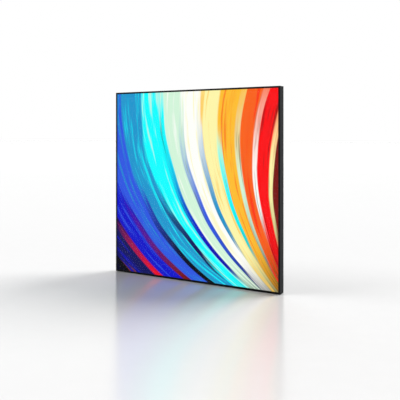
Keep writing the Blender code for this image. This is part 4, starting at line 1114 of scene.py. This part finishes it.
class LIGHTPANEL_OT_control_box(Operator):
    """Finish the control box: body, lid, and the marks round its dials"""

    bl_idname = "light_panel.control_box"
    bl_label = "Control box"

    def execute(self, context):
        finish = context.scene.light_panel_finish
        settings = context.scene.light_panel_hardware
        soften("control_box_body", "panel", "black_coat", finish.edge)
        soften("control_box_lid", "panel", "black_coat", finish.edge)
        for dial in ("brightness", "colour"):
            self.print_marks(dial, settings)
            self.print_sign(dial, settings)
        return {"FINISHED"}

    def lid_face(self):
        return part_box("control_box_lid")[1].y

    def print_marks(self, dial, settings, gap=0.0022, length=0.0024, width=0.0006):
        low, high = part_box(f"{dial}_knob")
        middle = centre(f"{dial}_knob")
        radius = (high.x - low.x) / 2 + gap
        mark = block((-width / 2, 0, 0), (width / 2, settings.mark_thickness, length))
        place = Vector((middle.x, self.lid_face(), middle.z))
        first = 0.35 if dial == "brightness" else 1.0
        mesh = grow(f"{dial}_marks", "Dial marks", points_mesh([]), mark, "mark_paint",
                    Centre=place, Radius=radius, Sweep=settings.dial_sweep,
                    Count=settings.dial_marks, First_Size=first)
        finish_piece(f"{dial}_marks", mesh, "panel", "mark_paint")

    def print_sign(self, dial, settings, radius=0.0016, above=0.0195, rays=8):
        """A plain sign over each dial: a disc with rays for brightness, a half disc for colour."""
        middle = centre(f"{dial}_knob")
        place = Vector((middle.x, self.lid_face(), middle.z + above))
        thick = settings.mark_thickness
        parts = [turned(flat_ring(radius * 0.78, radius, thick), 28, facing_back(place))]
        if dial == "brightness":
            for number in range(rays):
                ray = block((-0.0002, 0, radius * 1.3), (0.0002, thick, radius * 1.8))
                turn = Matrix.Rotation(FULL_TURN * number / rays, 4, "Y")
                ray.transform(Matrix.Translation(place) @ turn)
                parts.append(ray)
        else:
            inner = radius * 0.8
            profile = [(0, 0), (inner, 0), (inner, thick), (0, thick)]
            disc = turned(profile, 28, facing_back(place))
            low, high = (place + Vector(way) * radius * 2 for way in ((-1, -1, -1), (0, 1, 1)))
            parts.append(cut_by(disc, block(low, high)))
        mesh = merge(parts)
        finish_piece(f"{dial}_sign", mesh, "panel", "mark_paint")


class LIGHTPANEL_OT_knobs(Operator):
    """Replace the dial knobs with fluted ones and finish their shafts and potentiometers"""

    bl_idname = "light_panel.knobs"
    bl_label = "Knobs"

    def execute(self, context):
        settings = context.scene.light_panel_hardware
        for dial in ("brightness", "colour"):
            self.make_knob(dial, settings)
            dress("turned_aluminium", f"{dial}_shaft")
            dress("zinc_plate", f"{dial}_potentiometer")
        return {"FINISHED"}

    def make_knob(self, dial, settings, bore=0.0033, roof=0.003, skirt=0.0022, depth=0.0005,
                  steps=6, ledge=0.0011, edge=0.0008):
        """A knob with a plain skirt, shallow flutes, a dished end and a white pointer line."""
        low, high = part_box(f"{dial}_knob")
        middle = centre(f"{dial}_knob")
        radius, tall = (high.x - low.x) / 2, high.y - low.y
        sides = settings.knob_flutes * steps
        grip = radius - ledge
        levels = [  # (radius, height, flute depth)
            (bore, tall - roof, 0), (bore, 0.0002, 0), (bore + 0.0004, 0, 0),
            (radius - 0.0003, 0, 0), (radius, 0.0003, 0), (radius, skirt - 0.0003, 0),
            (radius - 0.0003, skirt, 0), (grip, skirt + 0.0002, 0), (grip, skirt + 0.0007, depth),
            (grip - 0.0002, tall - edge - 0.0006, depth), (grip - 0.0002, tall - edge, depth * 0.4),
            (grip - 0.0004, tall - edge * 0.4, 0), (grip - edge, tall, 0),
            (grip - edge - 0.0012, tall - 0.0001, 0), (grip - 0.0034, tall - 0.0005, 0),
        ]
        shape = bmesh.new()
        rings = []
        for ring_radius, height, flute in levels:
            ring = []
            for i in range(sides):
                angle = FULL_TURN * i / sides
                wave = 0.5 - 0.5 * math.cos(settings.knob_flutes * angle)
                r = ring_radius - flute * wave
                ring.append(shape.verts.new((r * math.cos(angle), r * math.sin(angle), height)))
            rings.append(ring)
        for lower, upper in zip(rings, rings[1:]):
            for i in range(sides):
                j = (i + 1) % sides
                shape.faces.new([lower[i], lower[j], upper[j], upper[i]])
        shape.faces.new(rings[-1])
        shape.faces.new(list(reversed(rings[0])))
        place = facing_back((middle.x, low.y, middle.z))
        bmesh.ops.transform(shape, matrix=place, verts=shape.verts)
        bmesh.ops.recalc_face_normals(shape, faces=shape.faces)
        mesh = bpy.data.meshes.new("knob")
        shape.to_mesh(mesh)
        shape.free()
        body = f"{dial}_dial"
        finish_piece(f"{dial}_knob_finished", mesh, body, "moulded_plastic",
                     [f"{dial}_knob"], crease=40)
        line_low = (middle.x - 0.0005, high.y - 0.0008, middle.z + radius * 0.3)
        line_high = (middle.x + 0.0005, high.y + 0.00004, middle.z + grip - edge * 1.2)
        line = block(line_low, line_high)
        finish_piece(f"{dial}_pointer", line, body, "mark_paint")


class LIGHTPANEL_OT_switch(Operator):
    """Finish the power switch: its housing and a dished rocker with plain marks"""

    bl_idname = "light_panel.switch"
    bl_label = "Switch"

    def execute(self, context):
        finish = context.scene.light_panel_finish
        soften("switch_housing", "panel", "moulded_plastic", finish.edge)
        soften("switch_rocker", "switch", "glossy_plastic", finish.edge)
        self.add_marks(context.scene.light_panel_hardware)
        return {"FINISHED"}

    def add_marks(self, settings, reach=0.0048, bar=0.0022, ring=0.0013):
        """A bar on the end that switches on and a ring on the end that switches off."""
        faces = [
            (polygon.center.copy(), polygon.normal.copy())
            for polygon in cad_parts["switch_rocker"].data.polygons
            if polygon.normal.y > 0.8
        ]
        middle = centre("switch_rocker")
        upper = self.face_frame([f for f in faces if f[0].z > middle.z], middle)
        lower = self.face_frame([f for f in faces if f[0].z < middle.z], middle)
        thick = settings.mark_thickness
        line = block((-0.0003, 0, reach - bar / 2), (0.0003, thick, reach + bar / 2))
        line.transform(upper)
        circle = turned(flat_ring(ring * 0.7, ring, thick), 28, facing_back((0, 0, -reach)))
        circle.transform(lower)
        mesh = merge([line, circle])
        finish_piece("switch_marks", mesh, "switch", "mark_paint")

    def face_frame(self, faces, middle):
        """A frame over the rocker's middle, on the outermost face's plane, Y along its normal."""
        place, normal = max(faces, key=lambda face: abs(face[0].z - middle.z))
        normal = normal.normalized()
        along = Vector((1.0, 0.0, 0.0))
        up = along.cross(normal).normalized()
        origin = middle + normal * (place - middle).dot(normal)
        return Matrix.Translation(origin) @ Matrix((along, normal, up)).transposed().to_4x4()


class LIGHTPANEL_OT_socket(Operator):
    """Finish the power socket: its nut, its contact sleeve and its centre pin"""

    bl_idname = "light_panel.socket"
    bl_label = "Socket"

    def execute(self, context):
        dress("moulded_plastic", "power_socket")
        self.add_nut()
        self.add_contacts()
        return {"FINISHED"}

    def outward(self, place):
        return Matrix.Translation(place) @ Matrix.Rotation(math.pi / 2, 4, "Y")

    def add_nut(self, inner=0.0053, outer=0.0078, thick=0.0014, sheet=0.0012, gap=0.0003):
        """A thin hexagonal nut inside the box's wall."""
        middle = centre("power_socket")
        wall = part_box("control_box_body")[1].x
        place = (wall - sheet - thick - gap, middle.y, middle.z)
        nut = turned(flat_ring(inner, outer, thick), 6, self.outward(place))
        finish_piece("socket_nut", nut, "panel", "zinc_plate")

    def add_contacts(self, bore=0.0031, sleeve=0.0028, depth=0.008, pin=0.00105, tip=0.0023):
        """The sprung sleeve inside the bore and the rounded centre pin over the moulded one."""
        middle = centre("power_socket")
        mouth = (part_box("power_socket")[1].x, middle.y, middle.z)
        ring = [(sleeve, -depth), (bore, -depth), (bore, -0.0012), (sleeve, -0.0010),
                (sleeve, -depth)]
        sleeve_mesh = turned(ring, 32, self.outward(mouth))
        ball = [(pin * math.cos(a), -tip - pin + pin * math.sin(a))
                for a in (math.radians(x) for x in (0, 30, 60))]
        pin_profile = [(0, -depth), (pin, -depth), *ball, (0, -tip)]
        pin_mesh = turned(pin_profile, 20, self.outward(mouth))
        mesh = merge([sleeve_mesh, pin_mesh])
        finish_piece("socket_contacts", mesh, "panel", "brass")


class LIGHTPANEL_OT_electronics(Operator):
    """Finish the driver board, its components and the leads"""

    bl_idname = "light_panel.electronics"
    bl_label = "Electronics"

    def execute(self, context):
        dress("green_solder_mask", "driver_board")
        dress("white_solder_mask", "lead_header")
        dress("glossy_plastic", "capacitor")
        dress("copper_winding", "inductor")
        dress("turned_aluminium", "heat_sink")
        dress("red_silicone", "led_lead_bottom", "led_lead_top", "power_lead", "switch_lead")
        self.add_components()
        return {"FINISHED"}

    def add_components(self, from_left=0.006, from_right=0.012, from_top=0.003, wide=0.006,
                       spacing=0.0048):
        """Small parts on a free strip along the board's upper edge."""
        low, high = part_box("driver_board")
        y = high.y
        left, right = low.x + from_left, high.x - from_right
        bottom, top = high.z - from_top - wide, high.z - from_top
        corners = (left, y, bottom), (left, y, top), (right, y, top), (right, y, bottom)
        strip = quad("strip", *corners)
        part = block((-0.0010, 0, -0.0006), (0.0010, 0.0007, 0.0006), 0.0001)
        mesh = grow("board_components", "Small components", strip, part, "chip_black",
                    Spacing=spacing)
        finish_piece("board_components", mesh, "panel", "chip_black")


class LIGHTPANEL_OT_feet(Operator):
    """Finish the folding feet: brackets, pins, arms and rubber pads"""

    bl_idname = "light_panel.feet"
    bl_label = "Feet"

    def execute(self, context):
        finish = context.scene.light_panel_finish
        for side in ("left", "right"):
            body = f"foot_{side}"
            soften(f"foot_bracket_{side}", "panel", "black_steel_coat", finish.edge)
            soften(f"foot_arm_{side}", body, "black_steel_coat", finish.edge)
            soften(f"foot_pad_{side}", body, "black_rubber", finish.rubber_edge, 3)
            self.make_pin(side)
        return {"FINISHED"}

    def make_pin(self, side, shank=0.003, dome=0.0006):
        """A turned hinge pin with a domed head and a rounded lower end."""
        low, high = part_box(f"foot_pin_{side}")
        middle = centre(f"foot_pin_{side}")
        head = (high.x - low.x) / 2
        thick = 0.0012
        top, bottom = high.z, low.z
        profile = [
            (0, bottom), (shank - dome, bottom), (shank, bottom + dome),
            (shank, top - thick), (head - 0.0002, top - thick), (head, top - thick + 0.0002),
            (head, top - dome), (head - dome * 0.4, top - dome * 0.3), (head - dome * 1.6, top),
            (0, top),
        ]
        mesh = turned(profile, 40, Matrix.Translation((middle.x, middle.y, 0)))
        finish_piece(f"foot_pin_{side}_finished", mesh, "panel", "turned_aluminium",
                     [f"foot_pin_{side}"])


class LIGHTPANEL_OT_base_pads(Operator):
    """Finish the rubber pads under the frame"""

    bl_idname = "light_panel.base_pads"
    bl_label = "Base pads"

    def execute(self, context):
        for side in ("left", "right"):
            soften(f"base_pad_{side}", "panel", "black_rubber",
                   context.scene.light_panel_finish.edge)
        return {"FINISHED"}


class LIGHTPANEL_PT_sidebar(Panel):
    """The sidebar's list of finishing steps"""

    bl_idname = "LIGHTPANEL_PT_sidebar"
    bl_label = "LED panel light"
    bl_space_type = "VIEW_3D"
    bl_region_type = "UI"
    bl_category = "Panel light"

    def draw(self, context):
        for operator in OPERATORS:
            self.layout.operator(operator.bl_idname)


SETTINGS = {
    "light_panel_picture": PictureSettings,
    "light_panel_finish": FinishSettings,
    "light_panel_hardware": HardwareSettings,
    "light_panel_stage": StageSettings,
}
OPERATORS = [
    LIGHTPANEL_OT_finishes,
    LIGHTPANEL_OT_repeats,
    LIGHTPANEL_OT_stage,
    LIGHTPANEL_OT_frame,
    LIGHTPANEL_OT_picture,
    LIGHTPANEL_OT_light_engine,
    LIGHTPANEL_OT_back,
    LIGHTPANEL_OT_screws,
    LIGHTPANEL_OT_control_box,
    LIGHTPANEL_OT_knobs,
    LIGHTPANEL_OT_switch,
    LIGHTPANEL_OT_socket,
    LIGHTPANEL_OT_electronics,
    LIGHTPANEL_OT_feet,
    LIGHTPANEL_OT_base_pads,
]


def register():
    for cls in (*SETTINGS.values(), *OPERATORS, LIGHTPANEL_PT_sidebar):
        bpy.utils.register_class(cls)
    for name, cls in SETTINGS.items():
        setattr(bpy.types.Scene, name, PointerProperty(type=cls))


def unregister():
    for name in SETTINGS:
        delattr(bpy.types.Scene, name)
    for cls in reversed((*SETTINGS.values(), *OPERATORS, LIGHTPANEL_PT_sidebar)):
        bpy.utils.unregister_class(cls)


def main():
    """Registers the add-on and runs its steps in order."""
    register()
    for operator in OPERATORS:
        category, name = operator.bl_idname.split(".")
        getattr(getattr(bpy.ops, category), name)()


if __name__ == "__main__":
    main()
